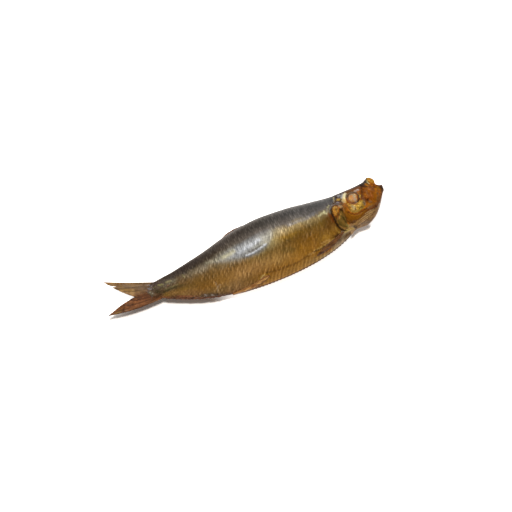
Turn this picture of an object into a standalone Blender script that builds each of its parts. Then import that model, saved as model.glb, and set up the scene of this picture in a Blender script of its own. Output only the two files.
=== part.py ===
"""A whole smoked herring, lying on its left side, as one closed solid.

X runs from the tail to the head, Y from the belly to the back and Z up from the floor.
The origin lies on the floor under the middle of the fish's box. Lengths are named in
millimetres and become metres where a mesh is made.
"""

import math

import bmesh
import bpy
from mathutils import Vector

MM = 0.001

# The body in rest
MIDPLANE_HEIGHT = 14.1  # the fish's plane of symmetry above the floor; the flank is pressed flat below
BACK_ROUNDNESS = 0.46  # exponent of the section towards the back: 0.5 is an ellipse
RING_POINTS = 44
TRUNK_STEP = 6.0
HEAD_STEP = 2.0
HEAD_START = 82.0

# Ribs, tail to lips: back point x, y, belly point x, y, half thickness, belly roundness
RIBS = (
    (-107.0, 9.9, -107.0, 0.4, 0.6, 0.50),
    (-99.0, 12.9, -99.0, -3.3, 1.9, 0.50),
    (-90.0, 13.0, -90.0, -4.9, 3.4, 0.50),
    (-71.0, 15.4, -71.0, -12.6, 5.9, 0.54),
    (-41.0, 20.9, -41.0, -23.6, 9.9, 0.60),
    (-11.0, 27.9, -11.0, -29.8, 13.3, 0.64),
    (19.0, 31.2, 19.0, -31.4, 15.0, 0.66),
    (49.0, 29.7, 49.0, -30.1, 14.9, 0.66),
    (74.0, 26.1, 74.0, -25.8, 13.2, 0.62),
    (89.0, 24.2, 91.0, -20.2, 11.4, 0.58),
    (98.0, 23.9, 103.0, -13.9, 10.2, 0.54),
    (107.0, 24.0, 114.0, -11.8, 9.2, 0.52),
    (117.0, 24.2, 125.5, -9.0, 8.0, 0.50),
    (126.0, 25.1, 135.3, 1.6, 6.4, 0.50),
    (131.0, 27.0, 139.7, 7.7, 5.0, 0.50),
    (133.8, 25.2, 142.4, 10.6, 3.9, 0.50),
    (135.4, 22.4, 142.7, 14.4, 3.2, 0.50),
)

# The mouth, open between the upper lip and the longer lower jaw
LIP_THICKNESS = 0.9
MOUTH_DEPTH_RINGS = 5
MOUTH_THROAT_SCALE = 0.35
MOUTH_CORNER_SETBACK = 2.1  # the corners of the mouth lie this far behind the tips of the jaws
MOUTH_CORNER_REACH = 12.0  # over this length of the snout

# The gill cover, a rounded plate whose rear rim stands over a slit
COVER_CENTRE = (102.7, 3.4)
COVER_RADII = (15.5, 18.0)
COVER_SQUARENESS = 2.5
COVER_RISE = 0.9
COVER_RIM_WIDTH = 0.14  # of the cover's radius
SLIT_DEPTH = 0.7

# The eyes, each in a shallow round socket
EYE_CENTRE = (111.9, 14.7)
EYE_RADIUS = 5.6
EYE_BULGE = 1.5  # proud of the cheek
EYE_ROUND_SEGMENTS = 20
SOCKET_DEPTH = 0.8
SOCKET_WIDTH = 1.6

# The tail fin: its rays run from three places on the root to the tips and the fork
TAIL_ROOT_TOP = (-91.0, 12.4)
TAIL_ROOT_MIDDLE = (-97.0, 4.9)
TAIL_ROOT_BOTTOM = (-90.3, -4.8)
UPPER_TIP = (-135.3, 31.2)
FORK = (-115.6, 7.8)
LOWER_TIP = (-142.7, -0.2)
TAIL_RAYS = 15
TAIL_STATIONS = 9  # along each ray
TAIL_ROOT_THICKNESS = 2.4
TAIL_EDGE_THICKNESS = 0.8
TAIL_SIDE_SHARE = 0.35  # thickness left along the outermost rays
UPPER_RAY_BOW = -0.4  # bend of the outermost rays towards the back
LOWER_RAY_BOW = -1.9
UPPER_MARGIN_BULGE = 1.5  # how full the rear margin of each lobe is
LOWER_MARGIN_BULGE = 0.2
TAIL_TWIST = 1.2  # the upper tip stands this much above the fish's plane and the lower one below

# The folded fins: start x, y, end x, y, bend towards the back, width, thickness
DORSAL_FIN = (4.0, 28.6, -21.0, 24.6, 1.9, 4.0, 2.0)
ANAL_FIN = (-28.0, -25.2, -87.0, -6.0, -1.8, 3.6, 2.4)
PELVIC_FIN = (5.0, -23.6, -28.5, -26.2, 0.0, 4.6, 2.0)
PECTORAL_FIN = (90.0, -13.0, 58.0, -22.8, 0.0, 5.6, 2.0)
FIN_STATIONS = 10
FIN_RING_POINTS = 10
FIN_END_FULLNESS = 0.12  # width left at a folded fin's ends
HALVINGS = 30  # steps that find the rib under a fin or an eye
PAIRED_FIN_EMBED = 0.4  # how far the middle of a paired fin is sunk in the flank


def clear_scene():
    for old in list(bpy.data.objects):
        bpy.data.objects.remove(old, do_unlink=True)


def smoked_skin():
    skin = bpy.data.materials.new("smoked_herring_skin")
    skin.use_nodes = True
    shader = skin.node_tree.nodes["Principled BSDF"]
    shader.inputs["Base Color"].default_value = (0.23, 0.13, 0.035, 1.0)
    shader.inputs["Roughness"].default_value = 0.35
    shader.inputs["Metallic"].default_value = 0.0
    return skin


def rib_distances():
    """Distance of each rib along the fish, measured midway between back and belly."""
    distances = [0.0]
    for behind, ahead in zip(RIBS, RIBS[1:]):
        step_x = (ahead[0] + ahead[2] - behind[0] - behind[2]) / 2
        step_y = (ahead[1] + ahead[3] - behind[1] - behind[3]) / 2
        distances.append(distances[-1] + math.hypot(step_x, step_y))
    return distances


RIB_DISTANCES = rib_distances()


def rib_at(distance):
    """A rib between the given ones, on a smooth curve through each of their values."""
    last = len(RIBS) - 1
    i = 0
    while i < last - 1 and RIB_DISTANCES[i + 1] < distance:
        i += 1
    span = RIB_DISTANCES[i + 1] - RIB_DISTANCES[i]
    t = (distance - RIB_DISTANCES[i]) / span
    before = max(i - 1, 0)
    after = min(i + 2, last)
    rib = []
    for column in range(len(RIBS[0])):
        start = RIBS[i][column]
        end = RIBS[i + 1][column]
        slope_in = (end - RIBS[before][column]) / (RIB_DISTANCES[i + 1] - RIB_DISTANCES[before])
        slope_out = (RIBS[after][column] - start) / (RIB_DISTANCES[after] - RIB_DISTANCES[i])
        value = start * (1 + 2 * t) * (1 - t) ** 2
        value += slope_in * span * t * (1 - t) ** 2
        value += end * t * t * (3 - 2 * t)
        value += slope_out * span * t * t * (t - 1)
        rib.append(value)
    return rib


def section_width(height, belly_roundness):
    """Half thickness, as a share of the widest, at a height from -1 (belly) to 1 (back)."""
    peak = (belly_roundness - BACK_ROUNDNESS) / (belly_roundness + BACK_ROUNDNESS)
    widest = (1 - peak) ** BACK_ROUNDNESS * (1 + peak) ** belly_roundness
    back_side = max(1 - height, 0.0) ** BACK_ROUNDNESS
    belly_side = max(1 + height, 0.0) ** belly_roundness
    return back_side * belly_side / widest


def cover_share(x, y):
    """0 at the gill cover's centre, 1 on its rim and more outside."""
    across = abs(x - COVER_CENTRE[0]) / COVER_RADII[0]
    up = abs(y - COVER_CENTRE[1]) / COVER_RADII[1]
    return (across**COVER_SQUARENESS + up**COVER_SQUARENESS) ** (1 / COVER_SQUARENESS)


def cover_relief(x, y):
    """The gill cover rises to its rear rim and drops into the slit behind it."""
    if x > COVER_CENTRE[0]:
        return 0.0
    share = cover_share(x, y)
    behind = min((COVER_CENTRE[0] - x) / (0.5 * COVER_RADII[0]), 1.0)
    if share <= 1.0:
        return COVER_RISE * share**3 * behind
    slit = (share - 1.0) / COVER_RIM_WIDTH
    return -SLIT_DEPTH * behind * math.exp(-(slit**2))


def socket_relief(x, y):
    """A trough round the eye."""
    away = math.hypot(x - EYE_CENTRE[0], y - EYE_CENTRE[1])
    return -SOCKET_DEPTH * math.exp(-(((away - EYE_RADIUS) / SOCKET_WIDTH) ** 2))


def body_ring(distance, scale=1.0):
    """One closed ring of the body, with the lower flank pressed flat on the floor."""
    back_x, back_y, belly_x, belly_y, half_thickness, belly_roundness = rib_at(distance)
    middle = Vector(((back_x + belly_x) / 2, (back_y + belly_y) / 2, MIDPLANE_HEIGHT))
    upright = Vector(((back_x - belly_x) / 2, (back_y - belly_y) / 2, 0.0))
    setback = Vector((upright.y, -upright.x, 0.0)).normalized() * -MOUTH_CORNER_SETBACK
    lips_near = max(1 - (RIB_DISTANCES[-1] - distance) / MOUTH_CORNER_REACH, 0.0)
    ring = []
    for k in range(RING_POINTS):
        angle = 2 * math.pi * k / RING_POINTS
        height = math.cos(angle)
        side = math.copysign(1.0, math.sin(angle))
        width = section_width(height, belly_roundness)
        point = middle + upright * height * scale + setback * lips_near**2 * (1 - height**2)
        relief = (cover_relief(point.x, point.y) + socket_relief(point.x, point.y)) * width
        point.z += side * (half_thickness * width * scale + relief)
        point.z = max(point.z, 0.0)
        ring.append(point)
    return ring


def ring_distances():
    """Where the rings stand: wide apart along the trunk, close together on the head."""
    end = RIB_DISTANCES[-1]
    head_start = HEAD_START - RIBS[0][0]
    trunk_rings = round(head_start / TRUNK_STEP)
    head_rings = round((end - head_start) / HEAD_STEP)
    distances = [head_start * k / trunk_rings for k in range(trunk_rings)]
    distances += [head_start + (end - head_start) * k / head_rings for k in range(head_rings + 1)]
    return distances


def finish_mesh(name, mesh):
    """Turns the faces outwards and makes an object of the mesh."""
    bmesh.ops.recalc_face_normals(mesh, faces=mesh.faces)
    data = bpy.data.meshes.new(name)
    mesh.to_mesh(data)
    mesh.free()
    made = bpy.data.objects.new(name, data)
    bpy.context.scene.collection.objects.link(made)
    return made


def loft(name, rings):
    """A closed object through rings of equal point counts, capped at both ends."""
    mesh = bmesh.new()
    rows = [[mesh.verts.new(point * MM) for point in ring] for ring in rings]
    count = len(rings[0])
    for here, there in zip(rows, rows[1:]):
        for k in range(count):
            after = (k + 1) % count
            mesh.faces.new((here[k], here[after], there[after], there[k]))
    mesh.faces.new(rows[0])
    mesh.faces.new(rows[-1])
    return finish_mesh(name, mesh)


def body():
    """The trunk and head as one loft that turns in at the lips to line the open mouth."""
    distances = ring_distances()
    rings = [body_ring(distance) for distance in distances]
    lip = rib_at(distances[-1])
    lip_height = math.hypot(lip[0] - lip[2], lip[1] - lip[3]) / 2
    lip_scale = 1 - LIP_THICKNESS / lip_height
    for k in range(MOUTH_DEPTH_RINGS):
        share = k / (MOUTH_DEPTH_RINGS - 1)
        scale = lip_scale + (MOUTH_THROAT_SCALE - lip_scale) * share
        rings.append(body_ring(distances[-1 - k], scale))
    return loft("smoked_fish", rings)


def lens_ring(middle, across, through):
    """A thin almond section: `across` is its half width and `through` its half thickness."""
    ring = []
    for k in range(FIN_RING_POINTS):
        angle = 2 * math.pi * k / FIN_RING_POINTS
        ring.append(middle + across * math.cos(angle) + through * math.sin(angle))
    return ring


def half_thickness_at(x, y):
    """Half thickness of the body at a point of the fish's plane, on the rib that crosses it."""
    behind, ahead = 0.0, RIB_DISTANCES[-1]
    for _ in range(HALVINGS):
        distance = (behind + ahead) / 2
        back_x, back_y, belly_x, belly_y, half_thickness, belly_roundness = rib_at(distance)
        height = (2 * y - back_y - belly_y) / (back_y - belly_y)
        rib_x = (back_x + belly_x + height * (back_x - belly_x)) / 2
        if rib_x < x:
            behind = distance
        else:
            ahead = distance
    height = min(max(height, -1.0), 1.0)
    return half_thickness * section_width(height, belly_roundness)


def plane_point(place):
    """A point of the fish's plane as a vector."""
    return Vector((place[0], place[1], MIDPLANE_HEIGHT))


def folded_fin(name, fin, side):
    """A fin folded shut: a slim blade, fullest a third of the way along.

    `side` is 0 for a fin on the fish's midline and 1 or -1 for one of a pair.
    """
    start_x, start_y, end_x, end_y, bend, width, thickness = fin
    along = Vector((end_x - start_x, end_y - start_y, 0.0))
    across = Vector((-along.y, along.x, 0.0)).normalized()
    rings = []
    for k in range(FIN_STATIONS):
        t = k / (FIN_STATIONS - 1)
        middle = plane_point((start_x, start_y)) + along * t
        middle.y += bend * math.sin(math.pi * t)
        fullness = FIN_END_FULLNESS + (1 - FIN_END_FULLNESS) * math.sin(math.pi * t**0.6) ** 0.7
        depth = half_thickness_at(middle.x, middle.y) - PAIRED_FIN_EMBED
        middle.z += side * depth
        half_width = across * width * fullness / 2
        half_depth = Vector((0.0, 0.0, thickness * fullness / 2))
        rings.append(lens_ring(middle, half_width, half_depth))
    return loft(name, rings)


def tail_ray(s):
    """Root, end and bow of the ray at a share of the tail fin's spread, top to bottom."""
    fork = plane_point(FORK)
    if s < 0.5:
        root, far_root = plane_point(TAIL_ROOT_TOP), plane_point(TAIL_ROOT_MIDDLE)
        tip, bow, bulge = plane_point(UPPER_TIP), UPPER_RAY_BOW, UPPER_MARGIN_BULGE
        share = 2 * s
    else:
        root, far_root = plane_point(TAIL_ROOT_BOTTOM), plane_point(TAIL_ROOT_MIDDLE)
        tip, bow, bulge = plane_point(LOWER_TIP), LOWER_RAY_BOW, LOWER_MARGIN_BULGE
        share = 2 - 2 * s
    margin = fork - tip
    outwards = Vector((-abs(margin.y), math.copysign(margin.x, margin.y), 0.0)).normalized()
    end = tip.lerp(fork, share) + outwards * bulge * math.sin(math.pi * share)
    return root.lerp(far_root, share), end, bow * (1 - share)


def plate_rim(rows):
    """The outer points of a grid of rows, in order round it."""
    side_out = [row[-1] for row in rows[1:-1]]
    side_back = [row[0] for row in rows[-2:0:-1]]
    return rows[0] + side_out + rows[-1][::-1] + side_back


def tail_fin():
    """The forked tail fin as a thin plate, thickest at the root and fined down at its edges."""
    mesh = bmesh.new()
    faces = {1: [], -1: []}
    for k in range(TAIL_STATIONS):
        t = k / (TAIL_STATIONS - 1)
        thickness = TAIL_ROOT_THICKNESS + (TAIL_EDGE_THICKNESS - TAIL_ROOT_THICKNESS) * t
        for side, rows in faces.items():
            row = []
            for ray in range(TAIL_RAYS):
                s = ray / (TAIL_RAYS - 1)
                root, end, bow = tail_ray(s)
                point = root.lerp(end, t)
                point.y += bow * math.sin(math.pi * t)
                edge = TAIL_SIDE_SHARE + (1 - TAIL_SIDE_SHARE) * math.sin(math.pi * s) ** 0.5
                point.z += TAIL_TWIST * (1 - 2 * s) * t + side * thickness * edge / 2
                row.append(mesh.verts.new(point * MM))
            rows.append(row)
    for rows in faces.values():
        for here, there in zip(rows, rows[1:]):
            for k in range(TAIL_RAYS - 1):
                mesh.faces.new((here[k], here[k + 1], there[k + 1], there[k]))
    upper_rim = plate_rim(faces[1])
    lower_rim = plate_rim(faces[-1])
    for k in range(len(upper_rim)):
        mesh.faces.new((upper_rim[k - 1], upper_rim[k], lower_rim[k], lower_rim[k - 1]))
    return finish_mesh("tail_fin", mesh)


def eye(name, side):
    """An eyeball that bulges out of the cheek."""
    mesh = bmesh.new()
    bmesh.ops.create_uvsphere(
        mesh, u_segments=EYE_ROUND_SEGMENTS, v_segments=EYE_ROUND_SEGMENTS // 2, radius=EYE_RADIUS * MM
    )
    made = finish_mesh(name, mesh)
    surface = half_thickness_at(*EYE_CENTRE)
    height = MIDPLANE_HEIGHT + side * (surface + EYE_BULGE - EYE_RADIUS)
    made.location = Vector((*EYE_CENTRE, height)) * MM
    return made


def unite(base, addition):
    """Joins an addition to the base and hides it as a guide."""
    union = base.modifiers.new(f"join_{addition.name}", "BOOLEAN")
    union.operation = "UNION"
    union.solver = "EXACT"
    union.object = addition
    addition.hide_render = True
    addition.display_type = "WIRE"


def main():
    clear_scene()
    fish = body()
    fish.data.materials.append(smoked_skin())
    fish.data.shade_smooth()
    additions = [
        tail_fin(),
        folded_fin("dorsal_fin", DORSAL_FIN, 0),
        folded_fin("anal_fin", ANAL_FIN, 0),
    ]
    for side, word in ((1, "right"), (-1, "left")):
        additions.append(folded_fin(f"{word}_pelvic_fin", PELVIC_FIN, side))
        additions.append(folded_fin(f"{word}_pectoral_fin", PECTORAL_FIN, side))
        additions.append(eye(f"{word}_eye", side))
    for addition in additions:
        unite(fish, addition)


main()
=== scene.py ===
import math

import bmesh
import bpy
import numpy as np
from mathutils import Matrix, Vector, noise
from mathutils.bvhtree import BVHTree


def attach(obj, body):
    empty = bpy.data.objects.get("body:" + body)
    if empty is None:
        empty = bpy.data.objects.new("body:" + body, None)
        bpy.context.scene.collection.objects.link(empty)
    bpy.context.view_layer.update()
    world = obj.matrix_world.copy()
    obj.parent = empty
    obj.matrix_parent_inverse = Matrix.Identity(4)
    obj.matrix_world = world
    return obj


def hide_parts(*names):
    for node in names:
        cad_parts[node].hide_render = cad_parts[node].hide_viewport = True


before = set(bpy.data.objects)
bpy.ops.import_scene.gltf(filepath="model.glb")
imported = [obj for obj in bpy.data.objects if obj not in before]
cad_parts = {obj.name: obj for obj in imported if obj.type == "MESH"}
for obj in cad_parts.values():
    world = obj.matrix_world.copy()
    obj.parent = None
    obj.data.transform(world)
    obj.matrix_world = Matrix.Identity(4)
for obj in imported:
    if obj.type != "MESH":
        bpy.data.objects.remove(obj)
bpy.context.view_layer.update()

# ---------------------------------------------------------------------------------------------
# The body: trunk and head under one smoked skin, drawn tight over the flesh as the fish dried.
# The trunk is covered with thin overlapping scales, the head is bare. It is one closed skin that
# turns in at the lips, and its lower flank is pressed flat where the fish lies.
# ---------------------------------------------------------------------------------------------

MM = 0.001
MIDPLANE_HEIGHT = 14.1  # the fish's plane of symmetry above the floor
BACK_ROUNDNESS = 0.46  # exponent of the section towards the back: 0.5 is an ellipse

# Ribs, tail to lips: back point x, y, belly point x, y, half thickness, belly roundness
RIBS = (
    (-101.5, 9.4, -101.5, 0.4, 0.4, 0.50),
    (-97.0, 12.6, -97.0, -3.3, 1.7, 0.50),
    (-90.0, 13.0, -90.0, -4.9, 3.4, 0.50),
    (-71.0, 15.4, -71.0, -12.6, 5.9, 0.54),
    (-41.0, 20.9, -41.0, -23.6, 9.9, 0.60),
    (-11.0, 27.9, -11.0, -29.8, 13.3, 0.64),
    (19.0, 31.2, 19.0, -31.4, 15.0, 0.66),
    (49.0, 29.7, 49.0, -30.1, 14.9, 0.66),
    (74.0, 26.1, 74.0, -25.8, 13.2, 0.62),
    (89.0, 24.2, 91.0, -20.2, 11.4, 0.58),
    (98.0, 23.9, 102.6, -15.0, 10.2, 0.54),
    (107.0, 24.0, 114.2, -15.0, 9.2, 0.52),
    (114.0, 24.1, 123.2, -10.9, 8.3, 0.50),
    (120.5, 24.5, 130.0, -5.0, 7.2, 0.50),
    (126.0, 25.1, 135.3, 1.6, 6.4, 0.50),
    (131.0, 27.0, 139.7, 7.7, 5.0, 0.50),
    (133.8, 25.2, 142.4, 10.6, 3.9, 0.50),
    (135.4, 22.4, 142.7, 14.4, 3.2, 0.50),
)
RING_POINTS = 256
TRUNK_STEP = 0.8
HEAD_STEP = 0.5
HEAD_START = 82.0  # x where the finer rings of the head begin
LIP_THICKNESS = 0.9
LIP_RINGS = 6  # the skin turns over the lip in these
MOUTH_DEPTH = 9.0
MOUTH_THROAT_SCALE = 0.35
MOUTH_CORNER_SETBACK = 2.1  # how far the lips' edge draws back between back and belly
MOUTH_CORNER_REACH = 12.0

COVER_CENTRE = (101.2, 1.2)  # the gill cover
COVER_RADII = (15.7, 17.0)
COVER_SQUARENESS = 2.5
COVER_RISE = 0.9
COVER_RIM_WIDTH = 0.14
SLIT_DEPTH = 0.6
EYE_CENTRE = (110.4, 12.8)
EYE_RADIUS = 5.6
SOCKET_DEPTH = 0.7
SOCKET_WIDTH = 1.6

SCALE_LENGTH = 3.77  # shown length of a scale, along the fish
SCALE_ROWS = 18  # rows on each flank, back to belly
SCALE_OVERLAP = 0.45  # how far the middle of a scale's rear edge bows back, in scale lengths
SCALE_ARCH = 0.76  # how round that edge is: 0 is straight and 1 is half a circle
SCALE_RELIEF = 0.08
COLUMN_LEAN_Y = (-31.0, -24.0, -14.0, -2.0, 8.0, 31.0)  # the columns of scales lean more towards the belly
COLUMN_LEAN_X = (-19.0, -14.3, -8.5, -3.2, -0.4, 0.0)
RIPPLE_HEIGHT = 0.10  # folds of the belly skin, one to each column of scales
# Crease above the belly folds, x and y
RIPPLE_TOP_X = (-8.0, 6.0, 20.0, 36.0, 50.0, 64.0, 76.0)
RIPPLE_TOP_Y = (-24.4, -23.2, -23.9, -24.4, -22.2, -22.6, -22.0)

# Colours are given as they look in the studio light, which is brighter than the skin's own colour
LIT_GAIN = 0.64
KEEL_SHADE_COLOUR = "#4a3226"
# Bands of the smoked skin from back to belly: x, y and colour at places from tail to head. The lightening
# lower back, the pale band and the skin just below it hold a painted sheen as well as the skin's colour.
SKIN_BANDS = (
    (  # dark back
        (-100, 13.0, "#5a4a3c"), (-62, 11.5, "#42362e"), (-20, 19.0, "#524840"), (0, 22.0, "#483f38"),
        (20, 21.0, "#4e4841"), (40, 22.0, "#57524e"), (82, 18.0, "#605e5c"),
    ),
    (  # lower part of the back, where it lightens
        (-100, 9.5, "#6e574a"), (-80, 9.0, "#584d43"), (-60, 9.0, "#4c4033"), (-30, 13.0, "#46382a"),
        (-16, 14.0, "#685c4f"), (0, 13.6, "#675d53"), (15, 15.0, "#776c62"), (30, 14.0, "#766d63"),
        (42, 12.6, "#6a6057"), (52, 14.0, "#7a736b"), (70, 11.0, "#6c655f"), (82, 14.0, "#706a66"),
    ),
    (  # pale band
        (-100, 5.0, "#644d3b"), (-78, 4.5, "#726650"), (-55, 4.0, "#806e52"), (-35, 5.0, "#96866c"),
        (-20, 6.0, "#bfb69c"), (-5, 6.5, "#b2b0a6"), (10, 8.0, "#a5a298"), (22, 9.0, "#b0a584"),
        (34, 7.0, "#b6a074"), (42, 6.4, "#a68c58"),
        (58, 8.0, "#a08c60"), (70, 7.0, "#8c764a"), (82, 8.5, "#9a8860"),
    ),
    (  # skin just below the pale band
        (-100, 1.0, "#684a32"), (-60, 0.0, "#755d3b"), (-35, 0.5, "#7a5c30"), (-18, 1.0, "#9a8d74"),
        (0, 0.5, "#9b9178"), (14, 1.0, "#a2986f"), (24, 2.0, "#a28e5c"), (34, 2.0, "#967024"),
        (50, 1.0, "#7c5a18"), (60, 1.0, "#6c4f18"), (72, 1.0, "#7e5e20"), (82, 4.0, "#5e3d12"),
    ),
    (  # upper flank, gold to brown
        (-100, -3.0, "#6b462c"), (-70, -5.0, "#82622e"), (-40, -5.0, "#86612a"), (-20, -6.0, "#986e36"),
        (-10, -6.0, "#896430"), (6, -7.0, "#93733c"), (30, -5.0, "#805f28"), (50, -4.0, "#744f16"),
        (62, -5.0, "#8c6428"),
        (82, -5.0, "#7a521a"),
    ),
    (  # lower flank, a lighter gold
        (-80, -7.0, "#aa8450"), (-50, -12.0, "#966726"), (-30, -14.0, "#a27434"), (-18, -15.0, "#bc8c4e"),
        (0, -13.0, "#b08248"), (22, -16.0, "#b88b48"), (45, -15.0, "#a67222"), (60, -12.0, "#9a6a26"),
        (72, -15.0, "#b0802e"), (82, -11.0, "#98681e"),
    ),
    (  # crease above the belly
        (-60, -14.0, "#8e6838"), (-40, -20.0, "#93703e"), (-20, -20.5, "#a07846"), (-10, -22.0, "#926830"),
        (15, -23.0, "#9e6a20"), (40, -22.0, "#b27c30"), (60, -22.0, "#a6701e"), (70, -20.0, "#9a6824"),
        (82, -17.0, "#5d3d18"),
    ),
    (  # belly
        (-30, -27.0, "#805c38"), (10, -28.0, "#ab7a38"), (40, -28.0, "#ac7c36"), (70, -26.0, "#a18252"),
        (82, -23.0, "#b49c7c"),
    ),
)
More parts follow.
